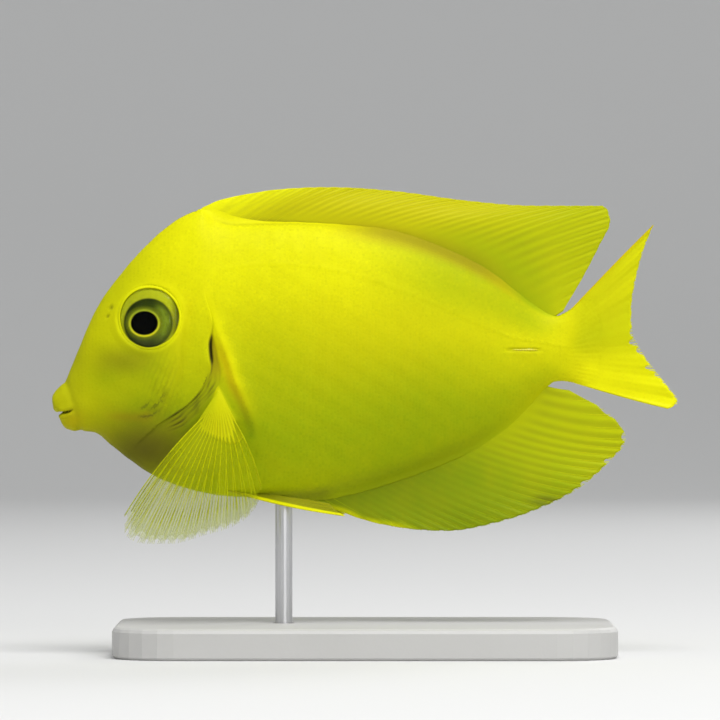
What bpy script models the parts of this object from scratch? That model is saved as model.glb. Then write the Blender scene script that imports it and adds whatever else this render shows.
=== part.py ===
"""Chocolate surgeonfish, yellow juvenile, life size, on a plain display stand.

The fish is drawn in its own millimetres: x runs from the lips (0) to the tail tip, z is measured
from the middle of the tail stem, and y is 0 on the midline, with the left side at minus y.
"""
import bpy
import bmesh
import numpy as np

MM = 0.001

# Driving sizes, in millimetres
TOTAL_LENGTH = 80.0
AXIS_HEIGHT = 39.0
GAP = 0.3
EYE_CENTRE = (12.5, 4.1)
EYE_RADIUS = 3.95
EYE_DEPTH = 2.3
EYE_STANDS_OUT = 0.75
STEM_CUT = 56.6
STEM_END = 66.9
ROD_X = 29.6
ROD_RADIUS = 1.1
BASE_LENGTH = 64.0
BASE_WIDTH = 38.0
BASE_THICKNESS = 4.0

# The body's lines, each with only the points that its shape needs
BACK = [(0.6, -5.4), (1.7, -3.7), (2.4, -2.1), (3.5, 0.6), (4.7, 3.5), (6.0, 6.0), (8.6, 9.6),
        (11.2, 12.6), (13.7, 15.0), (16.3, 16.9), (18.7, 17.8), (20.8, 16.7), (23.2, 16.2),
        (29.0, 16.3), (33.0, 16.2), (38.0, 15.8), (44.5, 14.6), (50.9, 12.2), (56.0, 9.4),
        (59.9, 6.3), (61.8, 4.9), (63.6, 4.2), (64.8, 4.4), (66.9, 5.6)]
BELLY = [(0.6, -9.0), (1.7, -10.0), (3.8, -10.4), (5.4, -10.6), (7.6, -12.3), (9.9, -14.1),
         (12.4, -15.8), (16.0, -17.4), (20.4, -18.5), (26.5, -18.95), (31.0, -19.0), (35.0, -18.6),
         (43.2, -16.4), (51.5, -13.1), (55.6, -10.9), (59.0, -8.4), (61.4, -6.1), (63.0, -4.7),
         (65.0, -4.0), (66.9, -4.2)]
HALF_WIDTH = [(0.6, 1.1), (1.7, 1.65), (3.5, 2.3), (6.0, 2.95), (8.6, 3.6), (11.2, 4.15),
              (16.3, 5.0), (21.0, 5.5), (27.0, 5.65), (36.0, 5.35), (48.0, 4.2), (58.0, 2.6),
              (63.0, 1.75), (66.9, 1.15)]
WIDEST_LEVEL = [(0.6, -7.4), (3.5, -6.4), (8.6, -4.0), (13.7, -2.8), (26.0, -2.4), (40.0, -1.0),
                (55.0, -0.2), (66.9, 0.1)]
BACK_KEEL = 0.60
BELLY_KEEL = 0.53

# The gill cover lies between the cheek line and the gill margin, both listed from the top down
GILL_MARGIN = [(19.6, 6.9), (20.5, 3.4), (20.1, 0.6), (20.3, -2.2), (18.8, -5.6), (16.2, -7.9),
               (13.4, -9.6)]
CHEEK_LINE = [(18.4, 6.3), (17.2, 3.8), (16.7, 0.8), (16.5, -2.0), (15.6, -4.9), (14.1, -7.3),
              (12.4, -8.9)]
GILL_COVER_DEPTHS = (0.25, -0.45)
GILL_POCKET_DEPTHS = (1.5, -0.75)
NECK_TOP = (19.4, 22.0)
THROAT = [(11.0, -11.6), (9.4, -13.2), (7.0, -20.0)]

# Lips and face: the slanted line behind the lips, the mouth's level and how much it climbs, each
# lip's centre and radii, and the place and radius of each nostril
LIP_SLANT = [(0.6, 2.0), (1.75, -4.1), (3.6, -10.6), (5.0, -16.0)]
MOUTH_LEVEL = -8.1
MOUTH_CLIMB = 0.12
UPPER_LIP = ((2.05, 0, -6.15), (2.05, 1.8, 2.2))
LOWER_LIP = ((3.1, 0, -8.85), (2.1, 1.65, 1.5))
NOSTRILS = [(7.5, 5.4, 0.38), (7.1, 4.3, 0.3)]
ORBIT_RIM_RADIUS = 0.38
ORBIT_RIM_OUTSET = 0.45

# Fin edges: how far along the root a ray starts, and where it ends
DORSAL_ROOT = (18.8, 62.8)
DORSAL_EDGE = [(0.0, 19.9, 18.65), (0.03, 23.4, 19.7), (0.06, 27.4, 20.45), (0.10, 31.0, 20.75),
               (0.17, 35.4, 20.9), (0.32, 44.2, 20.35), (0.45, 52.8, 19.2), (0.60, 61.8, 18.5),
               (0.74, 70.4, 18.5), (0.80, 71.4, 16.5), (0.87, 70.0, 13.4), (0.94, 67.8, 9.2),
               (1.0, 65.3, 5.1)]
ANAL_ROOT = (32.6, 62.3)
ANAL_EDGE = [(0.0, 37.4, -20.7), (0.06, 41.0, -22.0), (0.13, 45.4, -22.9), (0.21, 50.2, -23.2),
             (0.32, 54.9, -22.6), (0.45, 60.8, -20.9), (0.60, 66.7, -18.15), (0.75, 71.2, -14.4),
             (0.87, 73.3, -11.2), (0.95, 70.6, -7.7), (1.0, 66.2, -5.2)]
TAIL_ROOT = (5.8, -4.4)
TAIL_EDGE = [(0.0, 77.0, 16.0), (0.10, 75.9, 13.3), (0.2, 75.2, 11.0), (0.3, 74.6, 8.4),
             (0.4, 74.2, 5.4), (0.5, 74.3, 2.2), (0.58, 75.1, 0.4), (0.68, 76.5, -1.8),
             (0.78, 77.9, -3.6), (0.88, 79.2, -5.3), (0.95, 80.0, -6.6), (1.0, 78.9, -7.5)]
LOBE = (21.5, -7.2)
LOBE_RADII = (1.9, 2.0)
LOBE_RISE = 1.25
PECTORAL_FAN = (214.0, 322.0)
PECTORAL_EDGE = [(0.0, 9.6, -20.9), (0.08, 9.6, -23.0), (0.2, 11.6, -24.5), (0.4, 15.4, -24.6),
                 (0.6, 19.4, -23.6), (0.8, 23.6, -22.2), (0.92, 25.9, -20.3), (1.0, 26.9, -17.6)]
PELVIC_ROOT = [(0.0, 22.6, 2.45, -18.1), (1.0, 24.4, 1.0, -19.1)]
PELVIC_EDGE = [(0.0, 37.6, 4.9, -21.4), (0.5, 36.9, 4.0, -20.7), (1.0, 35.4, 3.1, -19.7)]

# How the fins bend. Bow, bulge and sag lie in the side view: along the root for back and anal fin,
# for the middle of the tail fin, and for the first and last ray of the paired fins. Lean, curl, cup
# and outset are sideways at the free edge.
DORSAL_BOW = [(0.0, 0.0), (0.3, 0.5), (0.75, 0.5), (1.0, 0.0)]
DORSAL_LEAN = 2.0
ANAL_BOW = [(0.0, 0.0), (0.45, 0.3), (0.85, 0.7), (1.0, 0.1)]
ANAL_LEAN = -1.5
TAIL_BULGE = 0.25
TAIL_CURL_ABOVE = 0.8
TAIL_CURL_BELOW = -2.6
PECTORAL_BOW = (0.6, -0.5)
PECTORAL_OUTSET = (11.2, 8.9)
PECTORAL_STAND_OFF = 0.8
PECTORAL_CUP = 1.5
PELVIC_SAG = (0.45, -0.2)

# Half thickness of each fin at its root, of a ray and of the web between rays
ROOT_HALF = 0.7
TAIL_ROOT_HALF = 0.95
PAIRED_ROOT_HALF = 0.42
PELVIC_HALF = 0.36
RAY_HALF = 0.45
WEB_HALF = 0.26

# The tail spine: length, height, thickness and where its hinge lies
SPINE_LENGTH = 3.9
SPINE_HEIGHT = 0.85
SPINE_THICKNESS = 0.75
SPINE_HINGE = 62.2


def line(points, at):
    """Smooth curve through the points, without overshoot, read at one or many places."""
    table = np.array(points, float)
    x, y = table[:, 0], table[:, 1]
    step = np.diff(x)
    rise = np.diff(y) / step
    slope = np.concatenate([rise[:1], (rise[:-1] + rise[1:]) / 2, rise[-1:]])
    turns = rise[:-1] * rise[1:] <= 0
    slope[1:-1][turns] = 0
    steepest = 3 * np.minimum(np.abs(np.r_[rise[0], rise]), np.abs(np.r_[rise, rise[-1]]))
    slope = np.clip(slope, -steepest, steepest)
    at = np.clip(at, x[0], x[-1])
    i = np.clip(np.searchsorted(x, at, side="right") - 1, 0, len(step) - 1)
    t = (at - x[i]) / step[i]
    return ((1 + 2 * t) * (1 - t) ** 2 * y[i] + t * (1 - t) ** 2 * step[i] * slope[i]
            + t * t * (3 - 2 * t) * y[i + 1] + t * t * (t - 1) * step[i] * slope[i + 1])


def edge_point(rows, a):
    """The point of an edge table at share a, with as many coordinates as its rows have."""
    return np.array([line([(row[0], row[axis]) for row in rows], a)
                     for axis in range(1, len(rows[0]))])


def first_to_last(pair, a):
    """A size that changes evenly from a fin's first ray to its last."""
    return pair[0] * (1 - a) + pair[1] * a


def flank(x, z, grow=0.0):
    """Half width of the body at a point of its side view."""
    level = line(WIDEST_LEVEL, x)
    top = line(BACK, x) + grow - level
    bottom = level - line(BELLY, x) + grow
    share = np.where(z > level, (z - level) / top, (level - z) / bottom)
    keel = np.where(z > level, BACK_KEEL, BELLY_KEEL)
    return (line(HALF_WIDTH, x) + grow) * np.clip(1 - share ** 2, 0, 1) ** keel


def to_world(points):
    """Fish millimetres to metres over the floor, with the length centred on the origin."""
    shifted = np.array(points, float) + (-TOTAL_LENGTH / 2, 0, AXIS_HEIGHT)
    return shifted * MM


def material(name, colour, roughness, metallic=0.0):
    made = bpy.data.materials.new(name)
    made.use_nodes = True
    shader = made.node_tree.nodes["Principled BSDF"]
    shader.inputs["Base Color"].default_value = (*colour, 1)
    shader.inputs["Roughness"].default_value = roughness
    shader.inputs["Metallic"].default_value = metallic
    return made


def solid(name, points, faces, finish=None, smooth=True):
    """A mesh object from points in fish millimetres, with its faces turned outwards."""
    mesh = bpy.data.meshes.new(name)
    mesh.from_pydata(to_world(points).tolist(), [], faces)
    shape = bmesh.new()
    shape.from_mesh(mesh)
    bmesh.ops.recalc_face_normals(shape, faces=shape.faces)
    if shape.calc_volume(signed=True) < 0:
        bmesh.ops.reverse_faces(shape, faces=shape.faces)
    shape.to_mesh(mesh)
    shape.free()
    if smooth:
        mesh.shade_smooth()
    made = bpy.data.objects.new(name, mesh)
    bpy.context.scene.collection.objects.link(made)
    if finish:
        mesh.materials.append(finish)
    return made


def combine(target, tool, operation, solver="EXACT"):
    """Joins, cuts or trims target by tool, which is then removed, and applies the result."""
    boolean = target.modifiers.new(operation.lower(), "BOOLEAN")
    boolean.operation = operation
    boolean.solver = solver
    if isinstance(tool, bpy.types.Collection):
        boolean.operand_type = "COLLECTION"
        boolean.collection = tool
        tools = list(tool.objects)
    else:
        boolean.object = tool
        tools = [tool]
    graph = bpy.context.evaluated_depsgraph_get()
    graph.update()
    mesh = bpy.data.meshes.new_from_object(target.evaluated_get(graph))
    target.modifiers.clear()
    target.data = mesh
    mesh.name = target.name
    for used in tools:
        bpy.data.objects.remove(used)
    if isinstance(tool, bpy.types.Collection):
        bpy.data.collections.remove(tool)


def join_all(target, pieces, solver="EXACT"):
    """One Boolean union of a node's pieces."""
    group = bpy.data.collections.new(target.name + "_pieces")
    for piece in pieces:
        bpy.context.scene.collection.objects.unlink(piece)
        group.objects.link(piece)
    bpy.context.scene.collection.children.link(group)
    combine(target, group, "UNION", solver)


def keep_largest(target):
    """Drops every loose scrap and every sealed hollow that the cuts and joins left."""
    shape = bmesh.new()
    shape.from_mesh(target.data)
    bmesh.ops.remove_doubles(shape, verts=shape.verts, dist=1e-7)
    bmesh.ops.triangulate(shape, faces=shape.faces)
    left = set(shape.verts)
    shells = []
    while left:
        reached = {left.pop()}
        front = set(reached)
        while front:
            front = {e.other_vert(v) for v in front for e in v.link_edges} - reached
            reached |= front
        left -= reached
        shells.append(reached)
    shells.sort(key=len)
    scraps = [v for shell in shells[:-1] for v in shell]
    bmesh.ops.delete(shape, geom=scraps, context="VERTS")
    shape.to_mesh(target.data)
    shape.free()
    target.data.shade_smooth()


def rings_solid(name, rings, finish=None):
    """A closed loft through rings of equal count, with a flat face on each end."""
    count = len(rings[0])
    points = np.concatenate(rings)
    faces = [list(range(count)), list(range(len(points) - count, len(points)))]
    for ring in range(len(rings) - 1):
        for i in range(count):
            j = (i + 1) % count
            faces.append([ring * count + i, ring * count + j,
                          (ring + 1) * count + j, (ring + 1) * count + i])
    return solid(name, points, faces, finish)


def body_loft(name, stations, around, grow=0.0, finish=None):
    """The whole body from lips to tail stem, as rings that follow its lines."""
    angle = np.linspace(0, 2 * np.pi, around, endpoint=False)
    rings = []
    for x in stations:
        level = line(WIDEST_LEVEL, x)
        reach = np.where(np.sin(angle) > 0, line(BACK, x) + grow - level,
                         level - line(BELLY, x) + grow)
        keel = np.where(np.sin(angle) > 0, BACK_KEEL, BELLY_KEEL)
        side = np.sign(np.round(np.cos(angle), 9)) * np.abs(np.cos(angle)) ** (2 * keel)
        y = (line(HALF_WIDTH, x) + grow) * side
        rings.append(np.stack([np.full(around, x), y, level + reach * np.sin(angle)], 1))
    return rings_solid(name, rings, finish)


def body_stations():
    """Closer together at the snout and the tail stem, where the lines bend most."""
    snout = np.linspace(0.6, 7.0, 12)
    head = np.linspace(8.0, 20.0, 11)
    trunk = np.linspace(21.8, 56.0, 16)
    stem = np.linspace(57.5, STEM_END, 9)
    return np.concatenate([snout, head, trunk, stem])


def side_prism(name, outline, reach=20.0):
    """A plate cut to an outline of the side view, thicker than the fish is wide."""
    count = len(outline)
    near = [(x, -reach, z) for x, z in outline]
    far = [(x, reach, z) for x, z in outline]
    faces = [list(range(count)), list(range(2 * count - 1, count - 1, -1))]
    for i in range(count):
        j = (i + 1) % count
        faces.append([i, j, count + j, count + i])
    return solid(name, near + far, faces, smooth=False)


def spline(points, count):
    """Evenly numbered points of a smooth curve through a short list."""
    share = np.linspace(0, 1, len(points))
    at = np.linspace(0, 1, count)
    return np.stack([line(list(zip(share, [p[axis] for p in points])), at)
                     for axis in range(len(points[0]))], 1)


def neck_curve(back_by=0.0):
    """The line from nape to throat that parts the head from the trunk, moved tailwards."""
    margin = spline(GILL_MARGIN, 19)
    curve = np.array([NECK_TOP, *margin.tolist(), *THROAT])
    along = np.gradient(curve, axis=0)
    along /= np.linalg.norm(along, axis=1)[:, None]
    return curve + back_by * np.stack([-along[:, 1], along[:, 0]], 1)


def gill_plate(name, outer, inner, grow, finish=None):
    """The crescent between cheek line and gill margin, as thick as outer less inner."""
    rows, columns = 15, 4
    margin = spline(GILL_MARGIN, rows)
    cheek = spline(CHEEK_LINE, rows)
    across = margin - cheek
    across /= np.linalg.norm(across, axis=1)[:, None]
    margin, cheek = margin + grow * across, cheek - grow * across
    for ends, sign in ((0, 1), (-1, -1)):
        along = (margin[ends] - margin[ends + sign]) + (cheek[ends] - cheek[ends + sign])
        along *= grow / np.linalg.norm(along)
        margin[ends] += along
        cheek[ends] += along
    faces = []
    points = []
    for depth in (outer, inner):
        for row in range(rows):
            for column in range(columns):
                share = column / (columns - 1)
                x, z = cheek[row] * (1 - share) + margin[row] * share
                points.append((x, -float(flank(x, z)) - depth, z))
    size = rows * columns
    for row in range(rows - 1):
        for column in range(columns - 1):
            i = row * columns + column
            quad = [i, i + 1, i + columns + 1, i + columns]
            faces += [quad, [size + k for k in reversed(quad)]]
    rim = ([(0, c) for c in range(columns)] + [(r, columns - 1) for r in range(1, rows)]
           + [(rows - 1, c) for c in range(columns - 2, -1, -1)]
           + [(r, 0) for r in range(rows - 2, 0, -1)])
    ring = [r * columns + c for r, c in rim]
    for k, i in enumerate(ring):
        j = ring[(k + 1) % len(ring)]
        faces.append([i, size + i, size + j, j])
    return solid(name, points, faces, finish)


def tube_ring(name, centre_line, radius, sides=6):
    """A closed tube round a closed line of points."""
    count = len(centre_line)
    points = []
    for i, here in enumerate(centre_line):
        along = centre_line[(i + 1) % count] - centre_line[i - 1]
        along /= np.linalg.norm(along)
        across = np.cross(along, (0, 1, 0))
        across /= np.linalg.norm(across)
        up = np.cross(across, along)
        for k in range(sides):
            turn = 2 * np.pi * k / sides
            points.append(here + radius * (np.cos(turn) * across + np.sin(turn) * up))
    faces = []
    for i in range(count):
        for k in range(sides):
            i2, k2 = (i + 1) % count, (k + 1) % sides
            faces.append([i * sides + k, i * sides + k2, i2 * sides + k2, i2 * sides + k])
    return solid(name, points, faces)


def ellipsoid(name, centre, radii, rings=12, around=20, finish=None):
    """An ellipsoid whose poles point along y."""
    points = [(centre[0], centre[1] - radii[1], centre[2])]
    for ring in range(1, rings):
        polar = np.pi * ring / rings
        for k in range(around):
            turn = 2 * np.pi * k / around
            points.append((centre[0] + radii[0] * np.sin(polar) * np.cos(turn),
                           centre[1] - radii[1] * np.cos(polar),
                           centre[2] + radii[2] * np.sin(polar) * np.sin(turn)))
    points.append((centre[0], centre[1] + radii[1], centre[2]))
    last = len(points) - 1
    faces = []
    for k in range(around):
        k2 = (k + 1) % around
        faces.append([0, 1 + k, 1 + k2])
        faces.append([last, last - around + k2, last - around + k])
        for ring in range(rings - 2):
            i = 1 + ring * around
            faces.append([i + k, i + around + k, i + around + k2, i + k2])
    return solid(name, points, faces, finish)


def mirrored(source, name):
    """The right-hand twin of a left-hand piece."""
    mesh = source.data.copy()
    shape = bmesh.new()
    shape.from_mesh(mesh)
    for vertex in shape.verts:
        vertex.co.y = -vertex.co.y
    bmesh.ops.reverse_faces(shape, faces=shape.faces)
    shape.to_mesh(mesh)
    shape.free()
    twin = bpy.data.objects.new(name, mesh)
    bpy.context.scene.collection.objects.link(twin)
    return twin


def ribbed_fin(name, surface, rays, rows, finish, root_half, ray_half, feet=True):
    """A fin as one closed sheet, with each ray a ridge raised in both of its faces.

    surface(a, v) is the middle of the sheet: a runs from the first ray to the last, v from root
    to edge. Both faces are split into triangles alike. With feet, each ridge is narrow.
    """
    notch, seat, foot_share = 0.03, 0.14, 0.24
    pitch = 1 / (rays - 1)
    columns = []
    for i in range(rays):
        a = i * pitch
        if feet and i > 0:
            columns.append((a - foot_share * pitch, False))
        columns.append((a, True))
        if feet and i < rays - 1:
            columns.append((a + foot_share * pitch, False))
        if not feet and i < rays - 1:
            columns.append((a + pitch / 2, False))
    faces_of_sheet = ([], [])
    small = 1e-3
    for a, crest in columns:
        for row in range(rows + 1):
            v = row / rows * (1 if crest else 1 - notch)
            here = surface(a, v)
            along_a = surface(min(a + small, 1), v) - surface(max(a - small, 0), v)
            along_v = surface(a, min(v + small, 1)) - surface(a, max(v - small, 0))
            normal = np.cross(along_a, along_v)
            normal /= np.linalg.norm(normal)
            settle = min(v / seat, 1)
            thin = (ray_half * (1 - 0.4 * v)) if crest else WEB_HALF
            half = root_half * (1 - settle) + thin * settle
            faces_of_sheet[0].append(here + half * normal)
            faces_of_sheet[1].append(here - half * normal)
    points = faces_of_sheet[0] + faces_of_sheet[1]
    size = len(faces_of_sheet[0])
    height = rows + 1
    faces = []
    for column in range(len(columns) - 1):
        for row in range(rows):
            i = column * height + row
            for tri in ((i, i + height, i + height + 1), (i, i + height + 1, i + 1)):
                faces += [list(tri), [size + k for k in reversed(tri)]]
    rim = ([c * height for c in range(len(columns))]
           + [(len(columns) - 1) * height + r for r in range(1, height)]
           + [c * height + rows for c in range(len(columns) - 2, -1, -1)]
           + [r for r in range(rows - 1, 0, -1)])
    for k, i in enumerate(rim):
        j = rim[(k + 1) % len(rim)]
        faces += [[i, size + i, size + j], [i, size + j, j]]
    return solid(name, points, faces, finish)


def seat_line(outline, x, side):
    """The point a gap away from the back (side 1) or belly (side -1), square to that line."""
    small = 0.05
    slope = (line(outline, x + small) - line(outline, x - small)) / (2 * small)
    square = np.array([-slope, 1]) / np.hypot(slope, 1) * side
    return np.array([x, line(outline, x)]) + GAP * square


def dorsal_surface(a, v):
    """Folded half back: the rays rise steeply, flatten tailwards and tip over to the far side."""
    x = DORSAL_ROOT[0] + a * (DORSAL_ROOT[1] - DORSAL_ROOT[0])
    root = seat_line(BACK, x, 1)
    edge = edge_point(DORSAL_EDGE, a)
    lean = DORSAL_LEAN * np.sin(np.pi * np.clip(a, 0, 1) ** 0.8)
    flat = root * (1 - v) + edge * v
    return np.array([flat[0], lean * v ** 1.6, flat[1] + 4 * line(DORSAL_BOW, a) * v * (1 - v)])


def anal_surface(a, v):
    """The fin under the tail, its rays flattening tailwards and its edge swung to the near side."""
    x = ANAL_ROOT[0] + a * (ANAL_ROOT[1] - ANAL_ROOT[0])
    root = seat_line(BELLY, x, -1)
    edge = edge_point(ANAL_EDGE, a)
    lean = ANAL_LEAN * np.sin(np.pi * np.clip(a, 0, 1))
    flat = root * (1 - v) + edge * v
    return np.array([flat[0], lean * v ** 1.6, flat[1] - 4 * line(ANAL_BOW, a) * v * (1 - v)])


def tail_surface(a, v):
    """The forked tail fin, its lower lobe curled towards the near side."""
    root = np.array([STEM_END + GAP, TAIL_ROOT[0] + a * (TAIL_ROOT[1] - TAIL_ROOT[0])])
    edge = edge_point(TAIL_EDGE, a)
    bulge = TAIL_BULGE * np.cos(np.pi * a)
    above = np.clip(1 - 2 * a, 0, 1)
    below = np.clip((a - 0.35) / 0.65, 0, 1) ** 1.5
    curl = TAIL_CURL_ABOVE * above + TAIL_CURL_BELOW * below
    flat = root * (1 - v) + edge * v
    return np.array([flat[0], curl * v ** 1.7, flat[1] + 4 * bulge * v * (1 - v)])


def pectoral_surface(a, v):
    """The left breast fin, fanned forwards and down from its lobe and standing off the flank."""
    turn = np.radians(PECTORAL_FAN[0] + a * (PECTORAL_FAN[1] - PECTORAL_FAN[0]))
    root = np.array([LOBE[0] + (LOBE_RADII[0] + GAP) * np.cos(turn),
                     LOBE[1] + (LOBE_RADII[1] + GAP) * np.sin(turn)])
    edge = edge_point(PECTORAL_EDGE, a)
    flat = root * (1 - v) + edge * v
    across = np.array([edge[1] - root[1], root[0] - edge[0]])
    across /= np.linalg.norm(across)
    bow = first_to_last(PECTORAL_BOW, a)
    flat = flat + across * bow * 4 * v * (1 - v)
    start = float(flank(*root)) + PECTORAL_STAND_OFF
    cup = PECTORAL_CUP * np.sin(np.pi * np.clip(a, 0, 1)) * v ** 1.5
    out = start * (1 - v) + first_to_last(PECTORAL_OUTSET, a) * v - cup
    return np.array([flat[0], -out, flat[1]])


def pelvic_surface(a, v):
    """The left belly fin, folded back under the belly and splayed outwards."""
    root = edge_point(PELVIC_ROOT, a)
    edge = edge_point(PELVIC_EDGE, a)
    here = root * (1 - v) + edge * v
    sag = first_to_last(PELVIC_SAG, a) * 4 * v * (1 - v)
    return np.array([here[0], -here[1], here[2] - sag])


def clear_startup_scene():
    for leftover in list(bpy.data.objects):
        bpy.data.objects.remove(leftover)


def make_head(skin):
    """Head: cut at the gill margin and behind the lips, with sockets, rims and nostrils."""
    head = body_loft("head", body_stations(), 36, finish=skin)
    before_neck = [(-5, 22), *neck_curve().tolist(), (-5, -20)]
    combine(head, side_prism("before_neck", before_neck), "INTERSECT")
    combine(head, side_prism("before_lips", lip_side(GAP / 2)), "DIFFERENCE")
    turn = np.linspace(0, 2 * np.pi, 32, endpoint=False)
    x = EYE_CENTRE[0] + (EYE_RADIUS + ORBIT_RIM_OUTSET) * np.cos(turn)
    z = EYE_CENTRE[1] + (EYE_RADIUS + ORBIT_RIM_OUTSET) * np.sin(turn)
    rims = []
    for side in (-1, 1):
        y = side * (flank(x, z) - 0.08)
        rims.append(tube_ring("orbit_rim", np.stack([x, y, z], 1), ORBIT_RIM_RADIUS))
    join_all(head, rims)
    for side in (-1, 1):
        radii = (EYE_RADIUS + GAP, EYE_DEPTH + GAP, EYE_RADIUS + GAP)
        socket = ellipsoid("socket", eye_centre(side), radii, 10, 24)
        combine(head, socket, "DIFFERENCE")
        for nostril_x, nostril_z, radius in NOSTRILS:
            place = (nostril_x, side * float(flank(nostril_x, nostril_z)), nostril_z)
            nostril = ellipsoid("nostril", place, (radius, 2 * radius, radius), 4, 8)
            combine(head, nostril, "DIFFERENCE")
    pocket = gill_plate("pocket", *GILL_POCKET_DEPTHS, GAP)
    pocket_twin = mirrored(pocket, "pocket_twin")
    combine(head, pocket, "DIFFERENCE")
    combine(head, pocket_twin, "DIFFERENCE")
    keep_largest(head)
    return head


def lip_side(offset):
    """The slanted line behind the lips, moved tailwards, with all that lies in front of it."""
    slant = [(x + offset, z) for x, z in LIP_SLANT]
    return [(-5, slant[0][1]), *slant, (-5, slant[-1][1])]


def make_lips(skin):
    """Two thick lips in front of the slanted line, parted by the line of the mouth."""
    front, back, above, below = -4, 6, 2, -14
    for name, shape, side, limit in (("upper_lip", UPPER_LIP, 1, above),
                                     ("lower_lip", LOWER_LIP, -1, below)):
        lip = ellipsoid(name, *shape, 12, 20, skin)
        combine(lip, side_prism("slant", lip_side(-GAP / 2)), "INTERSECT")
        mouth = MOUTH_LEVEL + side * GAP / 2
        band = [(front, mouth), (back, mouth + MOUTH_CLIMB), (back, limit), (front, limit)]
        combine(lip, side_prism("band", band), "INTERSECT")
        keep_largest(lip)


def eye_centre(side):
    depth = float(flank(*EYE_CENTRE)) + EYE_STANDS_OUT - EYE_DEPTH
    return (EYE_CENTRE[0], side * depth, EYE_CENTRE[1])


def make_eyes(glassy):
    for name, side in (("eye_left", -1), ("eye_right", 1)):
        ellipsoid(name, eye_centre(side), (EYE_RADIUS, EYE_DEPTH, EYE_RADIUS), 12, 24, glassy)


def make_gill_covers(skin):
    left = gill_plate("gill_cover_left", *GILL_COVER_DEPTHS, 0.0, skin)
    mirrored(left, "gill_cover_right")


def make_trunk(skin):
    """Trunk: from the gill margin to the tail stem, with a fleshy lobe for each breast fin."""
    trunk = body_loft("trunk", body_stations(), 36, finish=skin)
    behind_neck = [*neck_curve(GAP).tolist(), (STEM_CUT, -24), (STEM_CUT, 24)]
    combine(trunk, side_prism("behind_neck", behind_neck), "INTERSECT")
    join_all(trunk, [fin_lobe(side) for side in (-1, 1)])
    keep_largest(trunk)


def fin_lobe(side):
    """The fleshy pad that carries a breast fin: round below, drawn to a low point above."""
    turn = np.linspace(0, 2 * np.pi, 20, endpoint=False)
    upward = np.clip(np.sin(turn), 0, 1)
    rings = []
    for size, rise in ((0.9, -1.0), (1.0, 0.15), (1.0, 0.65), (0.9, 0.85), (0.6, 1.0)):
        x = LOBE[0] + size * LOBE_RADII[0] * np.cos(turn) * (1 - 0.45 * upward)
        z = LOBE[1] + size * LOBE_RADII[1] * np.sin(turn)
        lift = LOBE_RISE * rise * np.where(rise > 0, 1 - 0.5 * upward, 1)
        rings.append(np.stack([x, side * (flank(x, z) + lift), z], 1))
    return rings_solid("fin_lobe", rings)


def spine_solid(name, grow, finish=None):
    """The left tail spine: a lancet lying forwards, hinged at its rear end."""
    turn = np.linspace(0, 2 * np.pi, 8, endpoint=False)
    rings = []
    for share in (0.0, 0.15, 0.4, 0.7, 0.9, 1.0):
        x = SPINE_HINGE - share * SPINE_LENGTH + grow * (1 - 2 * share)
        wide = np.interp(share, [0, 0.15, 0.4, 1], [0.55, 0.9, 1.0, 0.22])
        y = -float(flank(x, 0.0)) - 0.05
        rings.append(np.stack([np.full(len(turn), x),
                               y + (SPINE_THICKNESS / 2 * wide + grow) * np.cos(turn),
                               (SPINE_HEIGHT / 2 * wide + grow) * np.sin(turn)], 1))
    return rings_solid(name, rings, finish)


def make_tail_stem(skin, bone):
    """Tail stem, with a groove on each side for its spine, and the two spines."""
    stem = body_loft("tail_stem", body_stations(), 36, finish=skin)
    beyond = [(STEM_CUT + GAP, 24), (STEM_CUT + GAP, -24), (90, -24), (90, 24)]
    combine(stem, side_prism("beyond_trunk", beyond), "INTERSECT")
    groove = spine_solid("groove", GAP)
    groove_twin = mirrored(groove, "groove_twin")
    combine(stem, groove, "DIFFERENCE")
    combine(stem, groove_twin, "DIFFERENCE")
    keep_largest(stem)
    left = spine_solid("tail_spine_left", 0.0, bone)
    mirrored(left, "tail_spine_right")


def make_median_fins(web):
    ribbed_fin("dorsal_fin", dorsal_surface, 35, 4, web, ROOT_HALF, RAY_HALF, feet=False)
    ribbed_fin("anal_fin", anal_surface, 28, 4, web, ROOT_HALF, RAY_HALF, feet=False)
    ribbed_fin("tail_fin", tail_surface, 18, 5, web, TAIL_ROOT_HALF, RAY_HALF)


def make_paired_fins(web):
    ribbed_fin("pectoral_fin_left", pectoral_surface, 16, 6, web, PAIRED_ROOT_HALF, PAIRED_ROOT_HALF)
    ribbed_fin("pelvic_fin_left", pelvic_surface, 6, 5, web, PELVIC_HALF, PELVIC_HALF, feet=False)
    for fin in ("pectoral_fin", "pelvic_fin"):
        mirrored(bpy.data.objects[fin + "_left"], fin + "_right")


def turned(name, x, profile, sides, finish=None):
    """A round piece on a vertical axis, from its radius at each height over the floor."""
    rings = []
    for radius, height in profile:
        turn = np.linspace(0, 2 * np.pi, sides, endpoint=False)
        rings.append(np.stack([x + radius * np.cos(turn), radius * np.sin(turn),
                               np.full(sides, height - AXIS_HEIGHT)], 1))
    return rings_solid(name, rings, finish)


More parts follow.
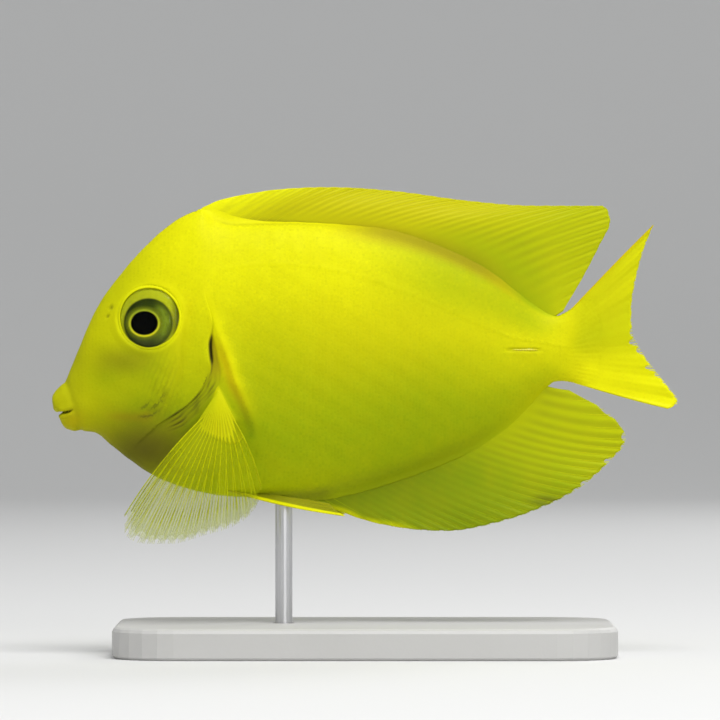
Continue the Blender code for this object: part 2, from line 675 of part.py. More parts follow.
def make_stand(metal, painted):
    """A flat base with rounded corners and one rod up to the belly."""
    corner, bevel, steps = 8.0, 0.6, 6
    rings = []
    for inset, height in ((bevel * 0.6, 0), (0, bevel * 0.6), (0, BASE_THICKNESS - bevel),
                          (bevel * 0.35, BASE_THICKNESS - bevel * 0.35),
                          (bevel, BASE_THICKNESS)):
        ring = []
        for quarter, (sx, sy) in enumerate(((1, 1), (-1, 1), (-1, -1), (1, -1))):
            for k in range(steps + 1):
                turn = np.pi / 2 * (quarter + k / steps)
                radius = corner - inset
                ring.append((TOTAL_LENGTH / 2 + sx * (BASE_LENGTH / 2 - corner)
                             + radius * np.cos(turn),
                             sy * (BASE_WIDTH / 2 - corner) + radius * np.sin(turn),
                             height - AXIS_HEIGHT))
        rings.append(np.array(ring))
    base = rings_solid("stand_base", rings, painted)
    hole_floor = 1.6
    hole = turned("rod_hole", ROD_X, [(ROD_RADIUS + GAP, hole_floor),
                                      (ROD_RADIUS + GAP, BASE_THICKNESS + 2)], 20)
    combine(base, hole, "DIFFERENCE")
    base.data.set_sharp_from_angle(angle=np.radians(40))
    rod = turned("stand_rod", ROD_X, [(ROD_RADIUS - 0.25, hole_floor + GAP),
                                      (ROD_RADIUS, hole_floor + GAP + 0.25),
                                      (ROD_RADIUS, AXIS_HEIGHT - 17.5)], 20, metal)
    combine(rod, body_loft("grown_body", body_stations(), 36, GAP), "DIFFERENCE")
    keep_largest(rod)
    rod.data.set_sharp_from_angle(angle=np.radians(40))


def main():
    clear_startup_scene()
    skin = material("yellow_skin", (0.80, 0.70, 0.01), 0.4)
    web = material("fin_web", (0.78, 0.72, 0.02), 0.45)
    glassy = material("eye_black", (0.02, 0.025, 0.02), 0.1)
    bone = material("spine_horn", (0.75, 0.66, 0.12), 0.35)
    metal = material("rod_steel", (0.6, 0.6, 0.6), 0.3, 1.0)
    painted = material("base_paint", (0.75, 0.74, 0.72), 0.5)
    make_head(skin)
    make_lips(skin)
    make_eyes(glassy)
    make_gill_covers(skin)
    make_trunk(skin)
    make_tail_stem(skin, bone)
    make_median_fins(web)
    make_paired_fins(web)
    make_stand(metal, painted)


main()
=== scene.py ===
import bpy
import bmesh
import numpy as np
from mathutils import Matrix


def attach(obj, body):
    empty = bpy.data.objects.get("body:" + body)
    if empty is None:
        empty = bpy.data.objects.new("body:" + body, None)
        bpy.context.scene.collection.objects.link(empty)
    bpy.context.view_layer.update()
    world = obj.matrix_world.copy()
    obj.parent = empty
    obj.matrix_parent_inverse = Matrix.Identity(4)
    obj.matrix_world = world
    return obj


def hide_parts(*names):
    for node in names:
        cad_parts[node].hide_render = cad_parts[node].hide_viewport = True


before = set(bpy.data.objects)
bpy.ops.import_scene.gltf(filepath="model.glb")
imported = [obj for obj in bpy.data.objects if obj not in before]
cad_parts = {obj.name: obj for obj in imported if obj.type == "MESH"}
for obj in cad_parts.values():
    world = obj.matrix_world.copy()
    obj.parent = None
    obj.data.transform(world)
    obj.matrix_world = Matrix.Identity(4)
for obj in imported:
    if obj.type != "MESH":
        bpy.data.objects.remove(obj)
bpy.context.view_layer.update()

# Studio. A pale sheet of paper that sweeps up behind, a pale surround and three large soft lamps,
# the strongest above, as in a photographer's product corner. The camera looks square at the
# fish's left side.
PICTURE_WIDTH = 0.0923
CAMERA_DISTANCE = 0.80
CAMERA_AIM = (-0.00064, 0.0, 0.0377)
SENSOR_MM = 36.0


def studio_finish(name, colour, roughness):
    made = bpy.data.materials.new(name)
    made.use_nodes = True
    shader = made.node_tree.nodes["Principled BSDF"]
    shader.inputs["Base Color"].default_value = (*colour, 1)
    shader.inputs["Roughness"].default_value = roughness
    return made


def soft_lamp(name, place, aim, size, watts):
    lamp = bpy.data.lights.new(name, "AREA")
    lamp.shape = "DISK"
    lamp.size = size
    lamp.energy = watts
    holder = bpy.data.objects.new(name, lamp)
    bpy.context.scene.collection.objects.link(holder)
    point_at(holder, place, aim)


def point_at(thing, place, aim):
    thing.location = place
    look = thing.location.copy()
    look.xyz = aim
    thing.rotation_euler = (look - thing.location).to_track_quat("-Z", "Y").to_euler()


camera = bpy.data.cameras.new("camera")
camera.sensor_width = SENSOR_MM
camera.lens = SENSOR_MM * CAMERA_DISTANCE / PICTURE_WIDTH
camera.clip_end = 20
camera_holder = bpy.data.objects.new("camera", camera)
bpy.context.scene.collection.objects.link(camera_holder)
point_at(camera_holder, (CAMERA_AIM[0], -CAMERA_DISTANCE, CAMERA_AIM[2]), CAMERA_AIM)
bpy.context.scene.camera = camera_holder

SWEEP_START = 0.9
SWEEP_RADIUS = 0.7
SWEEP_TOP = 5.0
SWEEP_REACH = 6.0

bend_turn = np.linspace(0, np.pi / 2, 24)
sweep_line = [(-SWEEP_REACH, 0.0)]
sweep_line += [(SWEEP_START + SWEEP_RADIUS * np.sin(a), SWEEP_RADIUS * (1 - np.cos(a)))
               for a in bend_turn]
sweep_line += [(SWEEP_START + SWEEP_RADIUS, SWEEP_TOP)]
floor_mesh = bpy.data.meshes.new("floor")
floor_mesh.from_pydata([(x, y, z) for y, z in sweep_line for x in (-SWEEP_REACH, SWEEP_REACH)], [],
                       [[2 * i, 2 * i + 1, 2 * i + 3, 2 * i + 2] for i in range(len(sweep_line) - 1)])
floor_mesh.shade_smooth()
floor = bpy.data.objects.new("floor", floor_mesh)
bpy.context.scene.collection.objects.link(floor)
floor_mesh.materials.append(studio_finish("floor_paper", (0.66, 0.66, 0.655), 0.85))

soft_lamp("lamp_above", (0.10, -0.24, 0.60), (0, 0, 0.04), 0.42, 3.4)
soft_lamp("lamp_front", (0.34, -0.85, 0.30), (0, 0, 0.04), 0.55, 1.5)
soft_lamp("lamp_behind", (0.45, 0.60, 0.42), (0, 0, 0.04), 0.40, 2.0)
surround = bpy.data.worlds.new("surround")
surround.use_nodes = True
surround.node_tree.nodes["Background"].inputs["Color"].default_value = (0.90, 0.91, 0.92, 1)
surround.node_tree.nodes["Background"].inputs["Strength"].default_value = 0.62
bpy.context.scene.world = surround
bpy.context.scene.view_settings.view_transform = "Standard"

# Skin. One unbroken skin over head, trunk and tail stem, tough and velvety, with the gill covers
# as firm flaps in it and thick lips at its front. It is stretched over the body in rings, from
# the lips to the tail's root, and its folds, rims and pits are raised or pressed in it.
AXIS_HEIGHT = 39.0
HALF_LENGTH = 40.0
SKIN_END = 71.4
BACK = [(0.0, -6.1), (0.06, -5.9), (0.2, -5.65), (0.5, -5.25), (1.0, -4.75), (1.7, -3.8),
        (2.4, -2.1), (3.5, 0.6), (4.7, 3.5), (6.0, 6.0), (8.6, 9.6), (11.2, 12.6), (13.7, 15.0),
        (16.3, 16.9), (18.7, 17.8), (20.8, 16.7), (23.2, 16.2), (29.0, 16.3), (33.0, 16.2),
        (38.0, 15.8), (44.5, 14.6), (50.9, 12.2), (56.0, 9.4), (59.9, 6.3), (61.8, 4.9),
        (63.6, 4.2), (64.8, 4.4), (66.9, 5.6), (68.4, 7.1), (71.4, 10.1)]
BELLY = [(0.0, -6.7), (0.06, -6.95), (0.2, -7.35), (0.5, -7.8), (0.85, -8.15), (1.0, -8.6),
         (1.15, -9.2), (1.5, -9.8), (2.2, -10.15), (3.8, -10.4), (5.4, -10.6), (7.6, -12.3),
         (9.9, -14.1), (12.4, -15.8), (16.0, -17.4), (20.4, -18.5), (26.5, -18.95),
         (31.0, -19.0), (35.0, -18.6), (43.2, -16.4), (51.5, -13.1), (55.6, -10.9),
         (59.0, -8.4), (61.4, -6.1), (63.0, -4.7), (65.0, -4.0), (66.9, -4.2), (68.4, -4.7),
         (71.4, -5.5)]
HALF_WIDTH = [(0.0, 0.35), (0.06, 0.7), (0.2, 0.98), (0.5, 1.25), (1.0, 1.5), (1.7, 1.7),
              (3.5, 2.3), (6.0, 2.95), (8.6, 3.6), (11.2, 4.15), (16.3, 5.0), (21.0, 5.5),
              (27.0, 5.65), (36.0, 5.35), (48.0, 4.2), (58.0, 2.6), (63.0, 1.75), (66.0, 1.12),
              (67.2, 0.68), (68.2, 0.40), (69.2, 0.23), (70.4, 0.11), (71.4, 0.03)]
WIDEST_LEVEL = [(0.0, -6.4), (0.6, -7.0), (1.7, -7.2), (3.5, -6.4), (8.6, -4.0), (13.7, -2.8),
                (26.0, -2.4), (40.0, -1.0), (55.0, -0.2), (66.9, 0.2), (71.4, 0.7)]
BACK_KEEL = 0.60
BELLY_KEEL = 0.53
GILL_MARGIN = [(19.6, 6.9), (20.5, 3.4), (20.1, 0.6), (20.3, -2.2), (18.8, -5.6), (16.2, -7.9),
               (13.4, -9.6), (9.2, -13.0)]
FREE_MARGIN = GILL_MARGIN[:7]
LOWER_MARGIN = GILL_MARGIN[3:7]
CHEEK_LINE = [(17.9, 6.4), (17.0, 3.8), (16.5, 0.8), (16.3, -2.0), (15.4, -4.9), (13.9, -7.3),
              (12.2, -8.7)]
GILL_FOLDS = ((0.0, 1.0), (0.50, 0.75), (0.98, 0.85), (1.42, 0.5))
GILL_HOLLOW = [(-2.8, 21.7), (-1.0, 21.3), (0.6, 20.95), (1.8, 20.6), (2.6, 20.3)]
SHOULDER = [(19.5, 7.6), (20.9, 3.6), (22.1, 0.5), (22.9, -1.6), (23.6, -3.9), (24.8, -6.4),
            (25.9, -9.0), (26.8, -12.0)]
CHEEK_STROKES = ([(10.6, -8.5), (12.0, -8.5), (13.3, -8.0), (14.6, -6.9)],
                 [(12.0, -7.9), (13.2, -7.2), (14.2, -6.0), (14.9, -4.6)],
                 [(11.0, -7.7), (12.0, -7.1), (12.7, -6.2)])
JAW_LINE = [(5.6, -8.3), (8.5, -8.5), (11.0, -8.6), (13.0, -8.2)]
LIP_LINE = [(1.75, -4.2), (2.4, -6.0), (2.9, -7.8), (3.2, -9.2), (3.6, -10.4)]
MOUTH = [(0.4, -8.05), (1.2, -8.08), (2.0, -7.95), (2.6, -7.7)]
LATERAL_LINE = [(20.8, 10.2), (27.0, 11.0), (34.0, 10.6), (42.0, 8.6), (50.0, 5.4), (58.0, 1.9),
                (66.0, 0.4)]
EYE_CENTRE = (12.5, 4.1)
EYE_RADIUS = 3.95
EYE_STANDS_OUT = 0.75
NOSTRILS = ((7.5, 5.4, 0.34), (7.1, 4.3, 0.25))
FIN_LOBE = (21.5, -7.2)
FIN_LOBE_RADII = (1.9, 2.0)
FIN_WEDGE_TOP = (21.3, -5.0)
FIN_WEDGE_FOOT = -9.0
SPINE_SPAN = (58.4, 62.3)
BACK_SHEATH = [(18.3, 0.0), (19.6, 0.6), (20.8, 1.5), (22.2, 1.6), (24.2, 1.1), (27.0, 0.5),
               (30.0, 0.25), (36.0, 0.3), (43.0, 0.8), (50.0, 0.95), (59.0, 1.2), (62.5, 0.9),
               (64.6, 0.0)]
BELLY_SHEATH = [(28.0, 0.0), (30.5, 0.35), (45.0, 0.8), (58.0, 1.1), (62.0, 0.8), (64.0, 0.0)]
BACK_SHEATH_HALF = [(18.3, 0.6), (20.8, 0.30), (22.5, 0.19), (27.0, 0.18), (32.0, 0.45)]
BELLY_SHEATH_HALF = 0.45
SHEATH_FRONT = 19.6
SHEATH_SPAN = 43.2
BACK_LEAN = 0.30
BELLY_LEAN = -0.22
CHEEK_FOLD_PITCH = 0.62
TAIL_RAYS = 20
TAIL_ROOT_X = 66.3
TAIL_ROOT = (5.0, -4.0)
TAIL_EDGE = [(0.0, 77.0, 16.0), (0.10, 75.9, 13.3), (0.2, 75.2, 11.0), (0.3, 74.6, 8.4),
             (0.4, 74.2, 5.4), (0.5, 74.3, 2.2), (0.58, 75.1, 0.4), (0.68, 76.5, -1.8),
             (0.78, 77.9, -3.6), (0.88, 79.2, -5.3), (0.94, 79.95, -6.4), (0.98, 79.7, -7.2),
             (1.0, 78.7, -7.5)]


def line(points, at):
    """Smooth curve through the points, without overshoot, read at one or many places."""
    table = np.array(points, float)
    x, y = table[:, 0], table[:, 1]
    step = np.diff(x)
    rise = np.diff(y) / step
    slope = np.concatenate([rise[:1], (rise[:-1] + rise[1:]) / 2, rise[-1:]])
    turns = rise[:-1] * rise[1:] <= 0
    slope[1:-1][turns] = 0
    steepest = 3 * np.minimum(np.abs(np.r_[rise[0], rise]), np.abs(np.r_[rise, rise[-1]]))
    slope = np.clip(slope, -steepest, steepest)
    at = np.clip(at, x[0], x[-1])
    i = np.clip(np.searchsorted(x, at, side="right") - 1, 0, len(step) - 1)
    t = (at - x[i]) / step[i]
    return ((1 + 2 * t) * (1 - t) ** 2 * y[i] + t * (1 - t) ** 2 * step[i] * slope[i]
            + t * t * (3 - 2 * t) * y[i + 1] + t * t * (t - 1) * step[i] * slope[i + 1])


def height_share(x, z):
    """How high a point of the side view lies: 1 at the back, 0 where widest, -1 at the belly."""
    level = line(WIDEST_LEVEL, x)
    return (z - level) / np.where(z > level, line(BACK, x) - level, level - line(BELLY, x))


def flank(x, z):
    """Half width of the body at a point of its side view."""
    share = height_share(x, z)
    keel = np.where(share > 0, BACK_KEEL, BELLY_KEEL)
    return line(HALF_WIDTH, x) * np.clip(1 - share ** 2, 0, 1) ** keel


def placed(points):
    """Fish millimetres, from the lips and the tail stem's middle, to metres over the floor."""
    return (np.asarray(points, float) + (-HALF_LENGTH, 0, AXIS_HEIGHT)) * 0.001


def ease(low, high, value):
    """A soft step from 0 at low to 1 at high, which may be the smaller of the two."""
    t = np.clip((value - low) / (high - low), 0, 1)
    return t * t * (3 - 2 * t)


def smooth_path(points, count):
    share = np.linspace(0, 1, len(points))
    at = np.linspace(0, 1, count)
    return np.stack([line(list(zip(share, [p[k] for p in points])), at) for k in (0, 1)], 1)


def near(path, x, z):
    """Distance to a curve of the side view, and how far along it (0 to 1) the nearest point is."""
    dots = smooth_path(path, 90)
    best = np.full(x.shape, 1e9)
    along = np.zeros(x.shape)
    for k in range(len(dots) - 1):
        leg = dots[k + 1] - dots[k]
        t = np.clip(((x - dots[k][0]) * leg[0] + (z - dots[k][1]) * leg[1]) / (leg @ leg), 0, 1)
        gap = np.hypot(x - dots[k][0] - t * leg[0], z - dots[k][1] - t * leg[1])
        closer = gap < best
        best = np.where(closer, gap, best)
        along = np.where(closer, (k + t) / (len(dots) - 1), along)
    return best, along


def hump(distance, width):
    """1 at distance 0, falling off softly over a width."""
    return np.exp(-(distance / width) ** 2)


def spot(x, z, middle_x, middle_z, half_length, half_height):
    """A soft oval spot of the side view, 1 at its middle."""
    return hump(np.hypot((x - middle_x) / half_length, (z - middle_z) / half_height), 1.0)


def off_eye(x, z):
    return np.hypot(x - EYE_CENTRE[0], z - EYE_CENTRE[1])


def off_groove(x, z):
    """Distance from the line that the tail spine's groove follows."""
    return np.hypot(np.clip(SPINE_SPAN[0] - x, 0, None) + np.clip(x - SPINE_SPAN[1], 0, None), z)


def sheath_lean(x, above):
    """How far the skin at a fin's foot leans to the side with its fin."""
    return np.where(above, BACK_LEAN, BELLY_LEAN) * np.sin(
        np.pi * np.clip((x - SHEATH_FRONT) / SHEATH_SPAN, 0, 1))


def side_of(path, x, z):
    """How far a point lies tailwards of a curve of the side view that runs downwards."""
    return x - line([(point[1], point[0]) for point in reversed(path)], z)


def edge_point(rows, a):
    """The point of an edge table at share a, with as many coordinates as its rows have."""
    return np.stack([line([(row[0], row[k]) for row in rows], a) for k in range(1, len(rows[0]))], -1)


def tail_surface(a, v):
    """The tail fin's middle, swung a little to the right above and well to the left below."""
    root_z = TAIL_ROOT[0] + a * (TAIL_ROOT[1] - TAIL_ROOT[0])
    edge = edge_point(TAIL_EDGE, a)
    lower = np.clip((a - 0.35) / 0.65, 0, 1)
    swing = (0.8 * np.clip(1 - 2 * a, 0, 1) - 2.6 * lower ** 1.5) * v ** 1.7
    return np.stack([TAIL_ROOT_X * (1 - v) + edge[..., 0] * v,
                     swing + 0.10 * np.sin(11 * np.pi * a) * v * v,
                     root_z * (1 - v) + edge[..., 1] * v + 0.6 * np.cos(np.pi * a) * v * (1 - v)], -1)


def tail_place(x, z):
    """Where heights z of a station x lie on the tail fin: their a, their v and their swing."""
    a = np.linspace(0, 1, 60)
    v = np.clip((x - TAIL_ROOT_X) / (edge_point(TAIL_EDGE, a)[:, 0] - TAIL_ROOT_X), 0, 1)
    dots = tail_surface(a, v)[::-1]
    return [np.interp(z, dots[:, 2], values[::-1]) for values in (a, v, dots[::-1, 1])]


def tail_marks(a, v):
    """Markings of the tail fin: olive above, and pale from the root on in the lower lobe."""
    shape = np.zeros(np.broadcast(a, v).shape)
    olive = 0.04 + 0.26 * ease(0.85, 0.45, a) + 0.15 * hump(a - 0.47, 0.12)
    return np.stack([olive + shape, 0.06 + 0.55 * hump(a, 0.02) + shape, shape,
                     0.15 * ease(0.5, 1.0, v) + 0.60 * ease(0.55, 0.80, a) * ease(0.03, 0.25, v)], -1)


def fin_wedge(x, z):
    """The fleshy wedge over a breast fin's root: how far off its middle, and how far down it."""
    span = FIN_WEDGE_TOP[1] - FIN_WEDGE_FOOT
    down = np.clip((FIN_WEDGE_TOP[1] - z) / span, 0, 1)
    middle = FIN_WEDGE_TOP[0] + 0.3 * down
    over = np.abs(x - middle) / (0.30 + 1.75 * down)
    over = over + ease(FIN_WEDGE_TOP[1], FIN_WEDGE_TOP[1] + 0.5, z)
    return over + ease(FIN_WEDGE_FOOT, FIN_WEDGE_FOOT - 0.8, z), down


def cheek(x, z):
    """Where the cheek's fine folds run, below and behind the eye."""
    return spot(x, z, 14.2, -4.6, 2.0, 4.0)


def cheek_wave(x, z):
    """The cheek's fine folds, side by side, from -1 in a fold to 1 between two."""
    return np.cos(2 * np.pi * (0.93 * x - 0.36 * z) / CHEEK_FOLD_PITCH)


def gill_slit(x, z):
    """1 along the open part of the gill opening and 0 above and below it."""
    along = near(FREE_MARGIN, x, z)[1]
    return ease(0.24, 0.34, along) * ease(0.50, 0.42, along)


def gill_folds(x, z):
    """The loose skin below the slit: how deep in one of its folds a point lies, and its band."""
    gap, along = near(LOWER_MARGIN, x, z)
    behind = gap * np.sign(side_of(LOWER_MARGIN, x, z))
    spread = 1 + 0.22 * np.sin(1.3 * z + 1.0)
    depth = np.zeros(x.shape)
    for k, (place, strength) in enumerate(GILL_FOLDS):
        shake = 0.05 * np.sin(3.7 * z + 2.1 * k) * (k > 0)
        uneven = 0.75 + 0.35 * np.sin(2.9 * z + 1.7 * k)
        depth += strength * uneven * hump(behind - place * spread - shake, 0.14)
    ends = ease(0.0, 0.2, along) * ease(1.0, 0.7, along)
    return depth * ends, ease(-0.15, 0.15, behind) * ease(2.1, 1.3, behind) * ends


def gill_hollow(x, z):
    """The sunken skin behind the slit, from 0 to 1."""
    hind = x - line(GILL_HOLLOW, z)
    ends = ease(2.6, 1.6, z) * ease(-4.6, -1.9, z)
    return ease(0.0, 0.15, side_of(FREE_MARGIN, x, z)) * ease(0.2, -0.3, hind) * ends


def skin_relief(x, z, s):
    """How far the skin stands out or sinks in, in mm. s is the ring that a point belongs to."""
    level = line(WIDEST_LEVEL, x)
    out = np.zeros(x.shape)

    covered = ease(8.2, 2.6, z) * ease(8.6, 13.5, x)
    behind = s - GILL_RING
    rise = (0.34 - 0.20 * ease(-1.2, -4.0, z)) * covered
    out += rise * np.where(behind < 0, np.exp(behind / 2.2), -0.6 * np.exp(-behind / 0.8))
    gap, along = near(CHEEK_LINE, x, z)
    out -= 0.10 * hump(gap, 0.34) * ease(0.0, 0.15, along) * ease(1.0, 0.85, along)
    out -= 0.10 * gill_folds(x, z)[0] + 0.12 * gill_hollow(x, z)
    out -= 0.45 * gill_slit(x, z) * hump(behind - 0.16, 0.16)
    gap, along = near(SHOULDER, x, z)
    tailwards = side_of(SHOULDER, x, z) > 0
    ridge = np.where(tailwards, hump(gap, 1.7), 1.4 * hump(gap, 0.7) - 0.4 * hump(gap, 1.9))
    uneven = 1 + 0.12 * np.sin(2.3 * z)
    out += 0.22 * ridge * uneven * ease(0.0, 0.25, along) * ease(1.0, 0.70, along)
    out += 0.045 * cheek_wave(x, z) * cheek(x, z)
    gap, along = near(LATERAL_LINE, x, z)
    out += 0.035 * hump(gap, 0.22) * ease(0.0, 0.05, along)

    r = off_eye(x, z)
    out += 0.05 * hump(r - 4.5, 0.35) - 0.06 * hump(r - 5.3, 0.6) * ease(5.0, 1.0, z)
    out -= 1.5 * ease(4.10, 3.5, r)
    for px, pz, size in NOSTRILS:
        hole = np.hypot(x - px, z - pz)
        out += 0.04 * hump(hole - size - 0.12, 0.14)
        out -= 0.22 * ease(size, size * 0.35, hole)

    gap = near(LIP_LINE, x, z)[0]
    out -= 0.10 * hump(gap, 0.40)
    out += np.where(side_of(LIP_LINE, x, z) < 0, 0.12 * ease(0.0, 0.9, gap), 0)
    gap, along = near(MOUTH, x, z)
    deep = ease(1.0, 0.35, along)
    out += 0.10 * hump(gap - 0.5, 0.35) * ease(3.4, 2.2, x)
    out -= (0.25 + 0.8 * deep) * hump(gap, 0.12) * ease(2.75, 2.2, x)

    over, down = fin_wedge(x, z)
    out += 0.55 * down ** 0.7 * ease(1.15, 0.2, over)
    groove = off_groove(x, z)
    out += 0.02 * hump(groove - 0.5, 0.30) - 0.11 * ease(0.30, 0.12, groove)

    wave = 0.5 + 0.5 * np.cos(2 * np.pi * (x + 0.10 * np.abs(z - level)) / 2.6)
    out -= 0.022 * wave * ease(24, 30, x) * ease(66, 60, x)
    return out + 0.03 * (np.sin(1.9 * x + 0.7 * z) * np.sin(1.3 * z - 0.6 * x)
                         * np.where(z < level, 1, 0.6))


def skin_markings(x, z):
    """Where the skin is olive, orange, dark and pale, each from 0 to 1: its own tones, with painted
    shade and painted highlights mixed in.
    """
    share = height_share(x, z)
    # The face's olive and orange are partly its own tone and partly painted shade where the head faces
    # down and away from the light.
    face = ease(17, 4, x)
    # Olive growing down the flank: partly the fish's own tone, partly painted shade from light above.
    olive = 0.80 * ease(0.60, -0.60, share) * ease(70, 46, x) * ease(4, 14, x)
    olive -= 0.14 * ease(-0.60, -0.95, share) * ease(44, 26, x) * ease(18, 24, x)
    olive += 0.12 * spot(x, z, 28, 1.5, 6, 6) + 0.10 * spot(x, z, 9, 9, 4, 5)
    # Painted shade: the upper flank darkens towards the tail, away from the light.
    olive += 0.56 * ease(0.15, 0.7, share) * ease(36, 52, x) * ease(67, 60, x)
    # Olive low on the tail stem, likewise partly painted shade.
    olive += 0.24 * ease(-0.2, -0.7, share) * ease(48, 58, x) * ease(67, 62, x)
    # Painted shade in a band along the back, under the rear half of the back fin.
    olive += 0.36 * ease(0.93, 0.995, share) * ease(32, 44, x)
    # Olive on the throat and under the eye: partly its own tone, partly painted shade.
    olive += 0.36 * spot(x, z, 14, -12.5, 8, 5.0) + 0.46 * spot(x, z, 9.0, -1.4, 4.4, 2.4)
    olive += 0.22 * spot(x, z, 6.0, -4.0, 2.6, 2.2) + 0.46 * face

    # The lips' orange is their own; the orange over the face is partly painted shade.
    orange = 0.28 * spot(x, z, 2.6, -9.0, 1.3, 1.1) + 0.14 * face
    # Orange in the same band of painted shade under the back fin.
    orange += 0.50 * ease(0.86, 0.98, share) * ease(32, 44, x) * ease(62, 56, x)
    # Orange down the front side of the shoulder ridge: partly its own tone, partly painted shade.
    gap, along = near(SHOULDER, x + 0.75, z)
    orange += 0.52 * hump(gap, 0.65) * ease(0.15, 0.40, along) * ease(0.98, 0.60, along)
    orange += 0.08 * hump(near(CHEEK_LINE, x, z)[0], 1.0)
    # The orange of the throat spot here and of the spot under the eye below is partly painted shade;
    # the flank spot is tone.
    orange += 0.12 * spot(x, z, 42, 2, 14, 6) + 0.34 * spot(x, z, 13.0, -12.6, 6.5, 4.0)
    orange += 0.16 * spot(x, z, 9.0, -1.2, 4.4, 2.0)

    # Painted shade: dark in the open gill slit and in a thin line under the gill cover's edge.
    gap, along = near(FREE_MARGIN, x - 0.16, z)
    behind = side_of(FREE_MARGIN, x, z)
    slit = gill_slit(x, z)
    dark = 0.95 * hump(gap, 0.20) * slit
    dark += 0.34 * hump(gap, 0.12) * ease(0.05, 0.3, along) * ease(0.62, 0.5, along)
    # The hollow's dark, orange and olive and the dark in the fold grooves are painted shade; the fold
    # band's own tones are real.
    hollow = gill_hollow(x, z)
    folds, band = gill_folds(x, z)
    dark += 0.40 * hollow + 0.55 * folds + 0.10 * band
    orange += 0.40 * hollow + 0.16 * band
    olive += 0.20 * hollow + 0.25 * band
    # Painted shadow that the shoulder ridge casts on its front side, low down.
    gap, along = near(SHOULDER, x + 0.9, z)
    olive += 0.30 * hump(gap, 0.5) * ease(0.55, 0.80, along) * ease(1.0, 0.9, along)
    dark += 0.13 * hump(gap, 0.3) * ease(0.45, 0.70, along) * ease(1.0, 0.8, along)
    # Painted shade in the mouth's slit and in the lip groove.
    dark += 0.42 * hump(near(MOUTH, x, z)[0], 0.16) * ease(2.9, 2.2, x)
    dark += 0.03 * hump(near(LIP_LINE, x, z)[0], 0.4)
    gap, along = near(JAW_LINE, x, z)
    jaw = hump(gap, 0.55) * ease(0.0, 0.4, along) * ease(1.0, 0.85, along)
    dark += 0.14 * jaw
    orange += 0.25 * jaw
    # Painted shade inside the nostrils.
    for px, pz, size in NOSTRILS:
        dark += 0.25 * ease(size + 0.1, size * 0.4, np.hypot(x - px, z - pz))
    # Painted shade in the cheek's fine folds.
    dark += 0.17 * (0.5 - 0.5 * cheek_wave(x, z)) ** 2 * cheek(x, z)
    # Dark over the throat, at the snout and under the eye: partly its own tone, partly painted shade.
    dark += 0.78 * spot(x, z, 12.0, -12.7, 6.5, 3.8) + 0.14 * ease(5.0, 2.5, x)
    dark += 0.27 * spot(x, z, 9.6, -1.4, 4.2, 1.7)
    # Dark in the same band of painted shade under the back fin.
    dark += 0.36 * ease(0.84, 0.98, share) * ease(34, 44, x) * ease(61, 54, x)
    # Painted shade: a thin dark line where the back fin's foot meets the body.
    dark += 0.22 * hump(share - 0.988, 0.007) * ease(20.3, 22.5, x) * ease(38, 31, x)
    # Painted shade along the belly's edge over the anal fin's foot.
    dark += 0.17 * ease(-0.84, -0.98, share) * ease(33, 38, x) * ease(60, 50, x)
    # Painted shadow under the belly's edge, above the belly fins.
    dark += 0.35 * ease(-0.90, -0.98, share) * ease(24, 28, x) * ease(37, 34, x)
    for stroke in CHEEK_STROKES:
        gap, along = near(stroke, x, z)
        dark += 0.42 * hump(gap, 0.16) * ease(0.0, 0.3, along) * ease(1.0, 0.6, along)
    # Painted shade in the tail spine's groove.
    dark += 0.06 * ease(0.45, 0.2, off_groove(x, z))

    # Pale over the upper flank is a painted highlight from light above; it is taken back in the band of
    # painted shade under the back fin.
    pale = 0.28 * ease(0.20, 0.75, share) * (1 - 0.9 * ease(0.93, 0.995, share) * ease(28, 42, x))
    pale = pale * ease(3.0, 18.0, x) * ease(62, 44, x)
    pale += 0.70 * ease(-0.05, -0.65, share) * ease(18, 24, x) * ease(46, 32, x)
    pale += 0.45 * ease(0.93, 0.99, share) * ease(56, 59, x) * ease(66, 63, x)
    gap, along = near(SHOULDER, x - 0.15, z)
    lit = hump(gap, 0.75) * ease(0.02, 0.2, along) * ease(0.9, 0.5, along)
    pale += 0.48 * lit
    olive = olive * (1 - 0.70 * lit)
    # Painted highlight along the gill cover's edge over the slit.
    pale += 0.7 * hump(behind + 0.32, 0.26) * slit
    pale += 0.8 * hump(off_eye(x, z) - 4.15, 0.25)
    on_wedge = ease(1.25, 0.7, fin_wedge(x, z)[0])
    olive = olive * (1 - 0.6 * on_wedge)
    dark = dark * (1 - 0.9 * on_wedge)
    return np.clip(np.stack([olive, orange, dark, pale], -1), 0, 1)


GILL_RING = 17.4
WARP_REACH = 15.0
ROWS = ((60, 66, 96, 28, 114))
AROUND = 380

ring_at = np.concatenate([
    np.linspace(0, 1, ROWS[0], endpoint=False) ** 1.6 * 3.5,
    np.linspace(3.5, 14, ROWS[1], endpoint=False),
    np.linspace(14, 23, ROWS[2], endpoint=False),
    np.linspace(23, 28, ROWS[3], endpoint=False),
    np.linspace(28, SKIN_END, ROWS[4])])
ring_at = np.sort(np.concatenate([ring_at, [GILL_RING - 0.03, GILL_RING + 0.03]]))
turn = np.linspace(0, 2 * np.pi, AROUND, endpoint=False)
turn = turn - 0.22 * np.sin(2 * turn)

